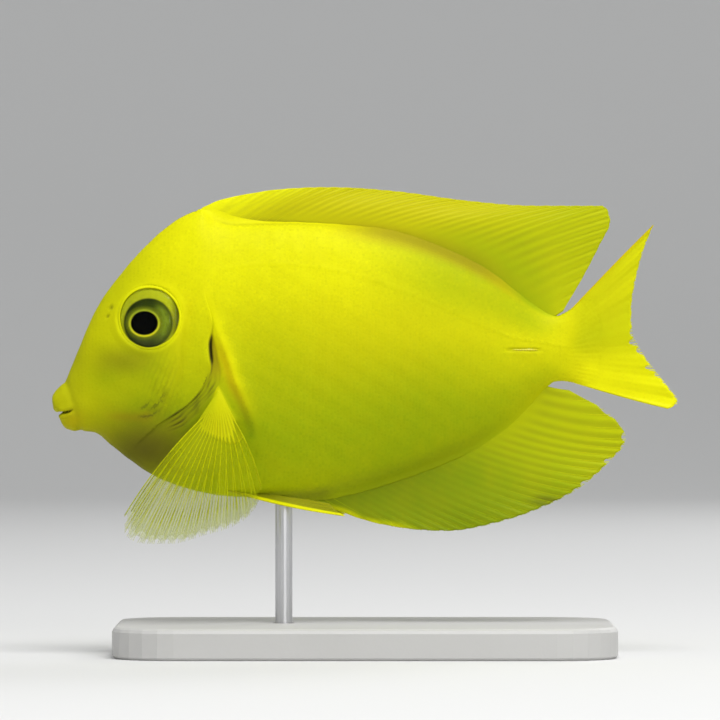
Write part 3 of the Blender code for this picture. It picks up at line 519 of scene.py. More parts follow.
margin_upwards = sorted((float(height_share(x, z)), x) for x, z in GILL_MARGIN)
ring, angle = np.meshgrid(ring_at, turn, indexing="ij")
height = np.sin(angle)
reach_of_warp = np.clip(1 - ((ring - GILL_RING) / WARP_REACH) ** 2, 0, 1) ** 2
skin_x = ring + (line(margin_upwards, height) - GILL_RING) * reach_of_warp
skin_x = np.clip(skin_x, 0, SKIN_END)
skin_level = line(WIDEST_LEVEL, skin_x)
skin_z = skin_level + height * np.where(height > 0, line(BACK, skin_x) - skin_level,
                                        skin_level - line(BELLY, skin_x))
bend = np.where(height > 0, BACK_KEEL, BELLY_KEEL)
across = np.sign(np.round(np.cos(angle), 9)) * np.abs(np.cos(angle)) ** (2 * bend)
skin_y = -line(HALF_WIDTH, skin_x) * across
skin_dots = np.stack([skin_x, skin_y, skin_z], -1)


def outward(dots):
    """The directions that a grid of rings faces, away from the body's middle."""
    along_ring = np.roll(dots, -1, axis=1) - np.roll(dots, 1, axis=1)
    along_body = np.gradient(dots, axis=0)
    normal = np.cross(along_ring, along_body)
    normal = normal / np.maximum(np.linalg.norm(normal, axis=-1, keepdims=True), 1e-12)
    return normal if (normal[:, :, 1] * dots[:, :, 1]).sum() > 0 else -normal


skin_marks = skin_markings(skin_x, skin_z)
skin_out = outward(skin_dots)
skin_dots = skin_dots + skin_out * skin_relief(skin_x, skin_z, ring)[:, :, None]
thinnest = 0.05 * np.sign(across)
skin_dots[:, :, 1] = np.where(across > 0, np.minimum(skin_dots[:, :, 1], -thinnest),
                              np.maximum(skin_dots[:, :, 1], -thinnest))
above = height > 0
sheath_half = np.where(above, line(BACK_SHEATH_HALF, skin_x), BELLY_SHEATH_HALF)
ridge = np.exp(-np.abs(skin_dots[:, :, 1]) / sheath_half)
skin_dots[:, :, 2] += np.where(above, line(BACK_SHEATH, skin_x), -line(BELLY_SHEATH, skin_x)) * ridge
skin_dots[:, :, 1] += sheath_lean(skin_x, above) * ridge ** 1.6
for i in np.nonzero(ring_at > 65.0)[0]:
    a, v, swing = tail_place(ring_at[i], skin_dots[i, :, 2])
    fin_share = ease(65.2, 68.2, ring_at[i])
    pleat = np.cos(2 * np.pi * (TAIL_RAYS - 1) * a)
    skin_dots[i, :, 1] += swing - 0.008 * fin_share * pleat * np.sign(across[i])
    skin_marks[i] = skin_marks[i] * (1 - fin_share) + tail_marks(a, v) * fin_share
skin_out = outward(skin_dots)


def tube_faces(rows, sides):
    """Faces of a tube of rings, with both of its ends capped."""
    faces = [list(range(sides)), list(range((rows - 1) * sides, rows * sides))]
    for i in range(rows - 1):
        for k in range(sides):
            m = (k + 1) % sides
            faces.append([i * sides + k, i * sides + m, (i + 1) * sides + m, (i + 1) * sides + k])
    return faces


def mesh_piece(name, dots, faces, finish, marks=None):
    """A piece from fish millimetres, with its tones and painted shading kept at its points."""
    mesh = bpy.data.meshes.new(name)
    mesh.from_pydata(placed(dots).tolist(), [], faces)
    if marks is not None:
        layer = mesh.color_attributes.new("markings_and_shading", "FLOAT_COLOR", "POINT")
        layer.data.foreach_set("color", np.asarray(marks, float).ravel())
    shape = bmesh.new()
    shape.from_mesh(mesh)
    bmesh.ops.recalc_face_normals(shape, faces=shape.faces)
    shape.to_mesh(mesh)
    shape.free()
    mesh.shade_smooth()
    mesh.materials.append(finish)
    piece = bpy.data.objects.new(name, mesh)
    bpy.context.scene.collection.objects.link(piece)
    return piece


def nodes_of(name):
    """A new finish with its node tree, its main shader and a maker of further nodes."""
    made = bpy.data.materials.new(name)
    made.use_nodes = True
    tree = made.node_tree
    shader = tree.nodes["Principled BSDF"]

    def add(kind, links=(), **settings):
        node = tree.nodes.new(kind)
        for key, value in settings.items():
            if hasattr(node, key):
                setattr(node, key, value)
            else:
                node.inputs[key.replace("_", " ")].default_value = value
        for socket, source in links:
            tree.links.new(source, node.inputs[socket])
        return node

    return made, tree, shader, add


def mixed(tree, low, high, share):
    """The colour between low and high, each a colour or a socket, by a share socket or number."""
    node = tree.nodes.new("ShaderNodeMix")
    node.data_type = "RGBA"
    for socket, value in ((node.inputs[6], low), (node.inputs[7], high), (node.inputs[0], share)):
        if isinstance(value, bpy.types.NodeSocket):
            tree.links.new(value, socket)
        else:
            socket.default_value = (*value, 1) if isinstance(value, tuple) else value
    return node.outputs[2]


# OLIVE and DARK also serve as painted shade, and PALE as painted highlight, where the points' tones mix
# them in.
YELLOW = (0.66, 0.64, 0.002)
OLIVE = (0.215, 0.325, 0.002)
ORANGE = (0.62, 0.42, 0.002)
DARK = (0.055, 0.048, 0.010)
PALE = (0.84, 0.83, 0.003)


def fish_colour(tree, add):
    """Yellow toned by the tones and painted shading kept at the points, with a fine mottle of pigment
    grains.
    """
    marks = add("ShaderNodeVertexColor", layer_name="markings_and_shading")
    parts = add("ShaderNodeSeparateColor", [("Color", marks.outputs["Color"])])
    where = add("ShaderNodeTexCoord").outputs["Object"]
    cloud = add("ShaderNodeTexNoise", [("Vector", where)], Scale=260.0, Detail=5.0,
                Roughness=0.6)
    grain = add("ShaderNodeTexNoise", [("Vector", where)], Scale=3200.0, Detail=3.0)
    colour = mixed(tree, YELLOW, PALE, marks.outputs["Alpha"])
    colour = mixed(tree, colour, OLIVE, parts.outputs[0])
    colour = mixed(tree, colour, ORANGE, parts.outputs[1])
    patch = add("ShaderNodeMapRange", [("Value", cloud.outputs["Fac"])], From_Min=0.38,
                From_Max=0.75, To_Min=0.0, To_Max=0.20)
    colour = mixed(tree, colour, (0.50, 0.45, 0.002), patch.outputs[0])
    speck = add("ShaderNodeMapRange", [("Value", grain.outputs["Fac"])], From_Min=0.52,
                From_Max=0.78, To_Min=0.0, To_Max=0.15)
    colour = mixed(tree, colour, (0.40, 0.34, 0.002), speck.outputs[0])
    colour = mixed(tree, colour, DARK, parts.outputs[2])
    return colour, where


def make_fleshy(shader, roughness, gloss, depth_share, depth):
    """A damp surface that lets a share of the light in, to depths in metres for red to blue."""
    shader.inputs["Roughness"].default_value = roughness
    shader.inputs["Specular IOR Level"].default_value = gloss
    shader.inputs["Subsurface Weight"].default_value = depth_share
    shader.inputs["Subsurface Radius"].default_value = depth
    shader.inputs["Subsurface Scale"].default_value = 1.0


skin_finish, tree, shader, add = nodes_of("velvet_skin")
colour, where = fish_colour(tree, add)
tree.links.new(colour, shader.inputs["Base Color"])
pores = add("ShaderNodeTexVoronoi", [("Vector", where)], Scale=2300.0)
ripple = add("ShaderNodeTexNoise", [("Vector", where)], Scale=900.0, Detail=4.0)
relief = mixed(tree, pores.outputs["Distance"], ripple.outputs["Fac"], 0.45)
bump = add("ShaderNodeBump", [("Height", relief)], Strength=0.35, Distance=0.00008)
tree.links.new(bump.outputs[0], shader.inputs["Normal"])
make_fleshy(shader, 0.48, 0.04, 0.12, (0.0009, 0.0007, 0.0001))

rings, around = skin_dots.shape[:2]
skin = mesh_piece("body_skin", skin_dots.reshape(-1, 3), tube_faces(rings, around), skin_finish,
                  skin_marks.reshape(-1, 4))
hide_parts("head", "trunk", "tail_stem", "gill_cover_left", "gill_cover_right",
            "upper_lip", "lower_lip")
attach(skin, "root")

# Scales. Close rows of tiny plates of thin bone under a film of skin, each with its front rooted
# in the skin and its hind edge standing a hair proud, over all but lips, eye rims and folds.
SCALE_LENGTH = 0.56
SCALE_WIDTH = 0.48
BARE_ROUND_EYE = 5.1
BARE_NOSTRILS = (7.3, 4.9, 1.2)
ROW_STEP = 0.40
SCALE_STEP = 0.39
SCALE_OUTLINE = np.array([(-0.52, 0.0, -0.030), (-0.15, 0.52, -0.012), (0.32, 0.46, -0.003),
                          (0.50, 0.18, 0.003), (0.50, -0.18, 0.003), (0.32, -0.46, -0.003),
                          (-0.15, -0.52, -0.012), (0.05, 0.0, 0.009), (0.32, 0.46, -0.003),
                          (0.50, 0.18, 0.003), (0.50, -0.18, 0.003), (0.32, -0.46, -0.003),
                          (0.30, 0.42, -0.030), (0.46, 0.16, -0.030), (0.46, -0.16, -0.030),
                          (0.30, -0.42, -0.030)])
SCALE_FACES = [[0, 1, 7], [1, 2, 7], [2, 3, 7], [3, 4, 7], [4, 5, 7], [5, 6, 7], [6, 0, 7],
               [8, 12, 13, 9], [9, 13, 14, 10], [10, 14, 15, 11]]

chance = np.random.default_rng(7)


def read_grid(grid, i, j):
    """A value of the skin's grid between its points, at ring i and turn j."""
    i0 = np.clip(np.floor(i).astype(int), 0, rings - 2)
    j0 = np.floor(j).astype(int)
    fi = (i - i0)[:, None]
    fj = (j - j0)[:, None]
    a, b = grid[i0, j0 % around], grid[i0, (j0 + 1) % around]
    c, d = grid[i0 + 1, j0 % around], grid[i0 + 1, (j0 + 1) % around]
    return (a * (1 - fj) + b * fj) * (1 - fi) + (c * (1 - fj) + d * fj) * fi


scale_i, scale_j = [], []
for number, s in enumerate(np.arange(3.3, 70.4, ROW_STEP)):
    i = np.interp(s, ring_at, np.arange(rings))
    loop = read_grid(skin_dots, np.full(around, i), np.arange(around, dtype=float))
    legs = np.linalg.norm(np.roll(loop, -1, axis=0) - loop, axis=1)
    length = np.concatenate([[0], np.cumsum(legs)])
    count = int(length[-1] / SCALE_STEP)
    spots = np.arange(count) + 0.5 * (number % 2) + chance.uniform(-0.22, 0.22, count)
    j = np.interp(spots % count * length[-1] / count, length, np.arange(around + 1))
    scale_i.append(np.full(count, i) + chance.uniform(-0.12, 0.12, count))
    scale_j.append(j)
scale_i = np.clip(np.concatenate(scale_i), 0, rings - 1.001)
scale_j = np.concatenate(scale_j)
roots = read_grid(skin_dots, scale_i, scale_j)
normals = read_grid(skin_out, scale_i, scale_j)
normals /= np.linalg.norm(normals, axis=1, keepdims=True)
tailward = read_grid(skin_dots, np.minimum(scale_i + 1, rings - 1.001), scale_j) - roots
tailward -= normals * (tailward * normals).sum(1, keepdims=True)
tailward /= np.maximum(np.linalg.norm(tailward, axis=1, keepdims=True), 1e-9)
sideways = np.cross(normals, tailward)
marks = read_grid(skin_marks, scale_i, scale_j)
at_x, at_z = roots[:, 0], roots[:, 2]
kept = off_eye(at_x, at_z) > BARE_ROUND_EYE
kept &= (np.abs(at_z) > 0.5) | (at_x < SPINE_SPAN[0] - 0.6) | (at_x > SPINE_SPAN[1] + 0.5)
kept &= np.hypot(at_x - BARE_NOSTRILS[0], at_z - BARE_NOSTRILS[1]) > BARE_NOSTRILS[2]
kept &= near(FREE_MARGIN, at_x, at_z)[0] > 0.35
kept &= gill_folds(at_x, at_z)[1] < 0.1
kept &= gill_hollow(at_x, at_z) < 0.1
kept &= near(SHOULDER, at_x, at_z)[0] > 0.45
kept &= fin_wedge(at_x, at_z)[0] > 1.15
sheath = np.where(at_z > 0, line(BACK_SHEATH, at_x), line(BELLY_SHEATH, at_x))
kept &= (sheath < 0.2) | (np.abs(roots[:, 1] - sheath_lean(at_x, at_z > 0)) > 0.6)
kept &= chance.uniform(0, 1, len(roots)) < ease(69.0, 65.0, at_x)

coat_finish, tree, shader, add = nodes_of("scale_coat")
colour, where = fish_colour(tree, add)
tree.links.new(colour, shader.inputs["Base Color"])
make_fleshy(shader, 0.45, 0.04, 0.10, (0.0008, 0.0006, 0.0001))

for side, name in ((-1, "scales_left"), (1, "scales_right")):
    chosen = np.nonzero(kept & (np.sign(roots[:, 1]) == side))[0]
    growth = ease(3, 16, at_x[chosen]) * 0.35 + 0.65 - 0.45 * ease(62, 68, at_x[chosen])
    growth = growth * chance.uniform(0.92, 1.08, len(chosen))
    size = np.stack([growth * SCALE_LENGTH, growth * SCALE_WIDTH, np.ones(len(chosen))], 1)
    local = SCALE_OUTLINE[None] * size[:, None, :]
    dots = (roots[chosen][:, None] + local[:, :, :1] * tailward[chosen][:, None]
            + local[:, :, 1:2] * sideways[chosen][:, None] + local[:, :, 2:] * normals[chosen][:, None])
    tone = marks[chosen].copy()
    tone[:, 3] = np.clip(tone[:, 3] + chance.uniform(-0.12, 0.12, len(chosen)), 0, 1)
    tone[:, 0] = np.clip(tone[:, 0] + chance.uniform(-0.05, 0.07, len(chosen)), 0, 1)
    plate = len(SCALE_OUTLINE)
    toned = np.repeat(tone[:, None], plate, axis=1)
    # Painted shade: each scale's hind rim and the underside of its edge a touch darker.
    toned[:, 8:, 2] = np.clip(toned[:, 8:, 2] + 0.015, 0, 1)
    faces = [[n * plate + k for k in face] for n in range(len(chosen)) for face in SCALE_FACES]
    mesh = bpy.data.meshes.new(name)
    mesh.from_pydata(placed(dots.reshape(-1, 3)).tolist(), [], faces)
    layer = mesh.color_attributes.new("markings_and_shading", "FLOAT_COLOR", "POINT")
    layer.data.foreach_set("color", toned.reshape(-1, 4).ravel())
    bake = mesh.uv_layers.new(name="OFBake")
    u = scale_i[chosen] / rings * 0.96 + 0.02
    v = scale_j[chosen] / around * 0.96 + 0.02
    patch = np.stack([u[:, None] + local[:, :, 0] * 0.0022, v[:, None] + local[:, :, 1] * 0.0022], -1)
    corners = np.empty(len(mesh.loops), int)
    mesh.loops.foreach_get("vertex_index", corners)
    bake.data.foreach_set("uv", patch.reshape(-1, 2)[corners].ravel())
    mesh.shade_smooth()
    mesh.materials.append(coat_finish)
    scales = bpy.data.objects.new(name, mesh)
    bpy.context.scene.collection.objects.link(scales)
    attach(scales, "root")

# Eyes. A large round eyeball set flush in the head: black pupil with a thin gold ring, a dark
# grey-green iris with fine spokes, and over it a clear, wet cornea. A thin bright skin rim
# holds each eyeball.
PUPIL = (11.85, 3.40)
PUPIL_RADII = (1.72, 1.50)
IRIS_RING = (12.35, 3.42)
EYE_DOME = 1.0
EYE_SLOPE = (0.24, -0.147)


def ball_depth(x, z):
    """The eyeball's front: a low dome that follows the slope of the face and stands just proud."""
    face = flank(*EYE_CENTRE) + EYE_SLOPE[0] * (x - EYE_CENTRE[0]) + EYE_SLOPE[1] * (z - EYE_CENTRE[1])
    return face + EYE_STANDS_OUT - EYE_DOME * (off_eye(x, z) / EYE_RADIUS) ** 2


def disc_dots(side, outer, rows, columns, depth_of):
    """Rings about the eye's centre. depth_of gives how far out each place lies."""
    radius = np.linspace(0, 1, rows + 1)[1:] * outer
    spin = np.linspace(0, 2 * np.pi, columns, endpoint=False)
    rr, tt = np.meshgrid(radius, spin, indexing="ij")
    x = EYE_CENTRE[0] + rr * np.cos(tt)
    z = EYE_CENTRE[1] + rr * np.sin(tt)
    dots = np.stack([x, side * depth_of(x, z), z], -1).reshape(-1, 3)
    hub = np.array([[EYE_CENTRE[0], side * float(depth_of(*EYE_CENTRE)), EYE_CENTRE[1]]])
    faces = [[0, 1 + k, 1 + (k + 1) % columns] for k in range(columns)]
    for i in range(rows - 1):
        for k in range(columns):
            m = (k + 1) % columns
            faces.append([1 + i * columns + k, 1 + (i + 1) * columns + k,
                          1 + (i + 1) * columns + m, 1 + i * columns + m])
    return np.concatenate([hub, dots]), faces


def closed_disc(name, side, outer, rows, columns, front_of, back_of, finish):
    """A disc with a shaped front and a shaped back a little further in."""
    front, faces = disc_dots(side, outer, rows, columns, front_of)
    back, faces = disc_dots(side, outer, rows, columns, back_of)
    size = len(front)
    faces = faces + [[size + k for k in reversed(face)] for face in faces]
    first = 1 + (rows - 1) * columns
    for k in range(columns):
        m = (k + 1) % columns
        faces.append([first + k, first + m, size + first + m, size + first + k])
    return mesh_piece(name, np.concatenate([front, back]), faces, finish)


iris_finish, tree, shader, add = nodes_of("iris")
where = add("ShaderNodeTexCoord").outputs["Object"]
pupil_world = placed([(PUPIL[0], 0, PUPIL[1])])[0]
eye_world = placed([(EYE_CENTRE[0], 0, EYE_CENTRE[1])])[0]
ring_world = placed([(IRIS_RING[0], 0, IRIS_RING[1])])[0]


def distance_from(tree, add, where, centre, shape=(1000, 0, 1000)):
    """Distance from a line of sight through centre, in mm or in a given shape's radii."""
    shifted = add("ShaderNodeVectorMath", [(0, where)], operation="SUBTRACT")
    shifted.inputs[1].default_value = tuple(centre)
    flat = add("ShaderNodeVectorMath", [(0, shifted.outputs[0])], operation="MULTIPLY")
    flat.inputs[1].default_value = shape
    long = add("ShaderNodeVectorMath", [(0, flat.outputs[0])], operation="LENGTH")
    return long.outputs["Value"], flat.outputs[0]


PUPIL_SHAPE = (1000 / PUPIL_RADII[0], 0, 1000 / PUPIL_RADII[1])
from_pupil, flat_pupil = distance_from(tree, add, where, pupil_world, PUPIL_SHAPE)
from_eye, flat_eye = distance_from(tree, add, where, eye_world)
from_ring, flat_ring = distance_from(tree, add, where, ring_world)


def within(distance, limit, softness):
    """1 inside a distance and 0 outside it, with a soft edge."""
    made = add("ShaderNodeMapRange", [("Value", distance)], From_Min=limit + softness,
               From_Max=limit - softness)
    return made.outputs[0]


fibres = add("ShaderNodeTexNoise", [("Vector", flat_eye)], Scale=1.5, Detail=7.0, Roughness=0.75)
flecks = add("ShaderNodeMapRange", [("Value", fibres.outputs["Fac"])], From_Min=0.42, From_Max=0.70,
             To_Min=0.0, To_Max=0.75)
placed_ring = add("ShaderNodeSeparateXYZ", [("Vector", flat_ring)])
to_tail = add("ShaderNodeMapRange", [("Value", placed_ring.outputs["X"])], From_Min=0.6, From_Max=3.0,
              To_Min=0.0, To_Max=0.9)
# Painted reflection: a greyish tint low on the iris.
low_reflection = add("ShaderNodeMapRange", [("Value", placed_ring.outputs["Z"])], From_Min=-1.2,
               From_Max=-2.8, To_Min=0.0, To_Max=0.45)
green = mixed(tree, (0.036, 0.058, 0.004), (0.40, 0.54, 0.030), to_tail.outputs[0])
green = mixed(tree, green, (0.15, 0.17, 0.05), low_reflection.outputs[0])
green = mixed(tree, green, (0.030, 0.045, 0.004), flecks.outputs[0])
green = mixed(tree, (0.020, 0.030, 0.004), green, within(from_ring, 2.72, 0.42))
gold_glow = within(from_pupil, 1.36, 0.17)
green = mixed(tree, green, (0.17, 0.21, 0.008), gold_glow)
bright = mixed(tree, (0.48, 0.52, 0.012), (0.28, 0.32, 0.008), flecks.outputs[0])
placed_eye = add("ShaderNodeSeparateXYZ", [("Vector", flat_eye)])
# Painted shade: a dark crescent at the eyeball's hind edge, where it meets the rim.
hind_edge_shade = add("ShaderNodeMapRange", [("Value", placed_eye.outputs["X"])], From_Min=2.6, From_Max=3.6,
                To_Min=0.0, To_Max=0.85)
bright = mixed(tree, bright, (0.030, 0.042, 0.004), hind_edge_shade.outputs[0])
eye_colour = mixed(tree, bright, green, within(from_ring, 3.16, 0.12))
placed_gold = add("ShaderNodeSeparateXYZ", [("Vector", flat_pupil)])
lit_gold = add("ShaderNodeMapRange", [("Value", placed_gold.outputs["Z"])], From_Min=1.0,
               From_Max=-1.0, To_Min=0.0, To_Max=1.0)
gold = mixed(tree, (0.36, 0.42, 0.02), (0.78, 0.76, 0.015), lit_gold.outputs[0])
eye_colour = mixed(tree, eye_colour, gold, within(from_pupil, 1.17, 0.06))
eye_colour = mixed(tree, eye_colour, (0.001, 0.001, 0.001), within(from_pupil, 1.02, 0.04))
# Painted shade: a thin dark line all round where the eyeball meets its rim.
eye_colour = mixed(tree, (0.05, 0.055, 0.004), eye_colour, within(from_eye, 3.80, 0.09))
tree.links.new(eye_colour, shader.inputs["Base Color"])
fibre = add("ShaderNodeTexNoise", [("Vector", flat_eye)], Scale=6.0, Detail=5.0)
fibre_bump = add("ShaderNodeBump", [("Height", fibre.outputs["Fac"])], Strength=0.4, Distance=0.0001)
tree.links.new(fibre_bump.outputs[0], shader.inputs["Normal"])
shader.inputs["Roughness"].default_value = 0.40
shader.inputs["Specular IOR Level"].default_value = 0.0

cornea_finish, tree, shader, add = nodes_of("cornea")
shader.inputs["Base Color"].default_value = (1, 1, 1, 1)
shader.inputs["Transmission Weight"].default_value = 1.0
shader.inputs["Roughness"].default_value = 0.01
shader.inputs["IOR"].default_value = 1.10


def iris_depth(x, z):
    """The iris lies under the cornea and dips to the pupil."""
    hole = np.hypot((x - PUPIL[0]) / PUPIL_RADII[0], (z - PUPIL[1]) / PUPIL_RADII[1])
    return ball_depth(x, z) - 0.24 - 0.18 * ease(1.7, 1.0, hole) - 0.30 * ease(1.03, 0.93, hole)


RIM_ROWS = ((3.72, -0.30), (3.78, -0.02), (3.85, 0.10), (3.94, 0.15), (4.03, 0.14), (4.12, 0.08),
            (4.26, 0.0), (4.5, -0.12), (4.3, -0.7), (3.80, -0.8))
for side, suffix in ((-1, "left"), (1, "right")):
    iris = closed_disc("iris_" + suffix, side, EYE_RADIUS - 0.06, 48, 96, iris_depth,
                       lambda x, z: ball_depth(x, z) - 1.0, iris_finish)
    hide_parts("eye_" + suffix)
    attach(iris, "root")
    cornea = closed_disc("cornea_" + suffix, side, EYE_RADIUS - 0.08, 24, 72, ball_depth,
                         lambda x, z: ball_depth(x, z) - 0.16, cornea_finish)
    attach(cornea, "root")

    spin = np.linspace(0, 2 * np.pi, 120, endpoint=False)
    rim_rows = []
    for r, lift in RIM_ROWS:
        uneven = 1 + 0.006 * np.sin(3 * spin + 1) + 0.004 * np.sin(7 * spin)
        x = EYE_CENTRE[0] + r * uneven * np.cos(spin)
        z = EYE_CENTRE[1] + r * uneven * np.sin(spin)
        blend = ease(3.8, 4.5, r)
        y = side * (flank(x, z) * blend + ball_depth(x, z) * (1 - blend) + lift)
        rim_rows.append(np.stack([x, y, z], -1))
    rim_dots = np.stack(rim_rows)
    n, m = rim_dots.shape[:2]
    faces = [[i * m + k, i * m + (k + 1) % m, (i + 1) % n * m + (k + 1) % m, (i + 1) % n * m + k]
             for i in range(n) for k in range(m)]
    flat = rim_dots.reshape(-1, 3)
    rim_marks = skin_markings(flat[:, 0], flat[:, 2])
    rim_marks[:, 3] = np.clip(rim_marks[:, 3] + 0.3, 0, 1)
    # Painted shade on the rim's innermost row, where it tucks against the eyeball.
    rim_marks[:m, 2] = 0.7
    rim = mesh_piece("eye_rim_" + suffix, flat, faces, skin_finish, rim_marks)
    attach(rim, "root")

# Back fin. Thirty-five rays, the first few of them stiff spines, stand in a low sheath of skin
# and carry one thin web. Each soft ray is a jointed rod that forks towards the edge.
DORSAL_RAYS = 35
DORSAL_SPINES = 8
DORSAL_ROOT = (18.1, 63.4)
DORSAL_EDGE = [(0.0, 19.3, 18.3), (0.015, 21.2, 19.17), (0.03, 23.4, 19.70), (0.06, 27.4, 20.42),
               (0.10, 31.0, 20.76), (0.17, 35.4, 20.9), (0.32, 44.2, 20.35), (0.45, 52.8, 19.2),
               (0.60, 61.8, 18.5), (0.74, 70.4, 18.5), (0.80, 71.5, 16.5), (0.87, 70.1, 13.4),
               (0.94, 67.9, 9.2), (1.0, 65.4, 5.0)]
DORSAL_BOW = [(0.0, 0.0), (0.3, 0.5), (0.75, 0.5), (1.0, 0.0)]
DORSAL_RAY_LENGTH = [(0.0, 1.7), (0.15, 6.0), (0.45, 15.0), (0.78, 19.5), (1.0, 3.0)]
RAY_SIDES = 6
RAY_FLATNESS = 0.8


def dorsal_surface(a, v):
    """The web's middle: folded half back, its rays flattening tailwards, tipped to the far side."""
    x = DORSAL_ROOT[0] + a * (DORSAL_ROOT[1] - DORSAL_ROOT[0])
    root_z = line(BACK, x) - 0.5
    edge = edge_point(DORSAL_EDGE, a)
    flat_x = x * (1 - v) + edge[..., 0] * v
    flat_z = root_z * (1 - v) + edge[..., 1] * v
    lean = 2.0 * np.sin(np.pi * np.clip(a, 0, 1) ** 0.8)
    ripple = 0.12 * np.sin(9 * np.pi * a) * v * v
    return np.stack([flat_x, lean * v ** 1.6 + ripple,
                     flat_z + 4 * line(DORSAL_BOW, a) * v * (1 - v)], -1)


def surface_normal(surface, a, v):
    small = 1e-3
    along_a = surface(np.clip(a + small, 0, 1), v) - surface(np.clip(a - small, 0, 1), v)
    along_v = surface(a, np.clip(v + small, 0, 1)) - surface(a, np.clip(v - small, 0, 1))
    normal = np.cross(along_a, along_v)
    return normal / np.maximum(np.linalg.norm(normal, axis=-1, keepdims=True), 1e-12)


def fin_marks(a, v, olive, orange, pale_edge):
    """Markings of a fin: its olive and its orange, nothing dark, and a pale free edge."""
    shape = np.broadcast(a, v).shape
    return np.clip(np.stack([np.broadcast_to(olive, shape), np.broadcast_to(orange, shape),
                             np.zeros(shape), pale_edge * ease(0.6, 1.0, v) + np.zeros(shape)],
                            -1), 0, 1)


def sheet_faces(columns, rows):
    """Faces of a closed sheet: a front grid and a back grid, joined all round their edges."""
    size, step = columns * (rows + 1), rows + 1
    faces = []
    for c in range(columns - 1):
        for r in range(rows):
            i = c * step + r
            faces.append([i, i + step, i + step + 1, i + 1])
            faces.append([size + i, size + i + 1, size + i + step + 1, size + i + step])
    edge = ([c * step for c in range(columns)] + [(columns - 1) * step + r for r in range(1, step)]
            + [c * step + rows for c in range(columns - 2, -1, -1)] + list(range(rows - 1, 0, -1)))
    for k, i in enumerate(edge):
        j = edge[(k + 1) % len(edge)]
        faces.append([i, size + i, size + j, j])
    return faces


def web_piece(name, surface, ray_count, across_rows, half, finish, marks_of, scallop=0.015, fray=0.0,
              seed=1, tears=(), foot_half=None, puckering=0.05):
    """The thin web as one closed sheet, its free edge dipping or torn in between the rays."""
    columns = (ray_count - 1) * 8 + 1
    a = np.linspace(0, 1, columns)
    v = np.linspace(0, 1, across_rows + 1)
    aa, vv = np.meshgrid(a, v, indexing="ij")
    phase = aa * (ray_count - 1)
    dip = np.sin(np.pi * (phase % 1)) ** 0.8
    torn = np.random.default_rng(seed).uniform(0, fray, ray_count + 1)
    for gap, depth in tears:
        torn[gap] += depth
    reach = 1 - (scallop + torn[np.floor(phase).astype(int)]) * dip
    middle = surface(aa, vv * reach)
    normal = surface_normal(surface, aa, np.clip(vv, 0.02, 0.98))
    pucker = puckering * np.sin(2 * np.pi * phase) * vv ** 2
    middle = middle + normal * pucker[..., None]
    thick = half * (1.6 - 0.9 * vv)[..., None]
    if foot_half is not None:
        thick = thick + (foot_half - thick) * ease(0.30, 0.0, vv)[..., None]
    front, back = middle + normal * thick, middle - normal * thick
    dots = np.concatenate([front.reshape(-1, 3), back.reshape(-1, 3)])
    marks = marks_of(aa, vv).reshape(-1, 4)
    return mesh_piece(name, dots, sheet_faces(columns, across_rows), finish,
                      np.concatenate([marks, marks]))


def ray_rod(surface, a, v, root_radius, tip_radius, joints):
    """One ray or branch: a slightly flattened, jointed rod along the places a, v of the web."""
    middle = surface(a, v)
    normal = surface_normal(surface, a, np.clip(v, 0.01, 0.99))
    along = np.gradient(middle, axis=0)
    along /= np.maximum(np.linalg.norm(along, axis=1, keepdims=True), 1e-9)
    cross = np.cross(along, normal)
    share = (v - v[0]) / (v[-1] - v[0])
    radius = root_radius * (1 - share) + tip_radius * share
    radius = radius * (1 + joints * np.where(np.arange(len(v)) % 2 == 0, 1, -1))
    spin = np.linspace(0, 2 * np.pi, RAY_SIDES, endpoint=False)
    dots = (middle[:, None] + radius[:, None, None]
            * (np.cos(spin)[None, :, None] * normal[:, None]
               + RAY_FLATNESS * np.sin(spin)[None, :, None] * cross[:, None]))
    return dots.reshape(-1, 3), tube_faces(len(v), RAY_SIDES)


def ray_piece(name, surface, ray_count, spines, root_radius, tip_radius, finish, marks_of,
              fork_at=0.5, spread=0.30):
    """All rays of a fin, forked into two and then four towards the edge, spines left plain."""
    second_fork = 0.55
    split = fork_at + second_fork * (1 - fork_at)
    at_split = second_fork ** 0.8

    def straight(v):
        return 0 * v

    def branch(v):
        return ((v - fork_at) / (1 - fork_at)) ** 0.8

    def twig(v):
        return at_split + (0.42 - at_split) * (v - split) / (1 - split)

    spine = [(straight, 0, 0.0, 1.0, root_radius * 1.25, tip_radius * 0.8, 0.0)]
    soft_ray = [(straight, 0, 0.0, fork_at + 0.02, root_radius, root_radius * 0.66, 0.10)]
    for side in (-1, 1):
        soft_ray += [(branch, side, fork_at, 1.0, root_radius * 0.55, tip_radius, 0.08),
                     (twig, side, split, 1.0, root_radius * 0.38, tip_radius * 0.8, 0.05)]
    all_dots, all_faces, all_at, start = [], [], [], 0
    pitch = 1 / (ray_count - 1)
    for number in range(ray_count):
        own_a = number / (ray_count - 1)
        room = min(1, 0.35 + min(own_a, 1 - own_a) / pitch)
        for drift, side, v_from, v_to, foot, tip, joints in spine if number < spines else soft_ray:
            rows = 18 if v_to - v_from > 0.3 else 8
            v = np.linspace(v_from, v_to, rows + 1)
            a = np.clip(own_a + side * spread * pitch * room * drift(v), 0, 1)
            dots, faces = ray_rod(surface, a, v, foot, tip, joints)
            all_dots.append(dots)
            all_faces += [[start + k for k in face] for face in faces]
            all_at.append(np.repeat(np.stack([a, v], 1), RAY_SIDES, axis=0))
            start += len(dots)
    at = np.concatenate(all_at)
    return mesh_piece(name, np.concatenate(all_dots), all_faces, finish, marks_of(at[:, 0], at[:, 1]))


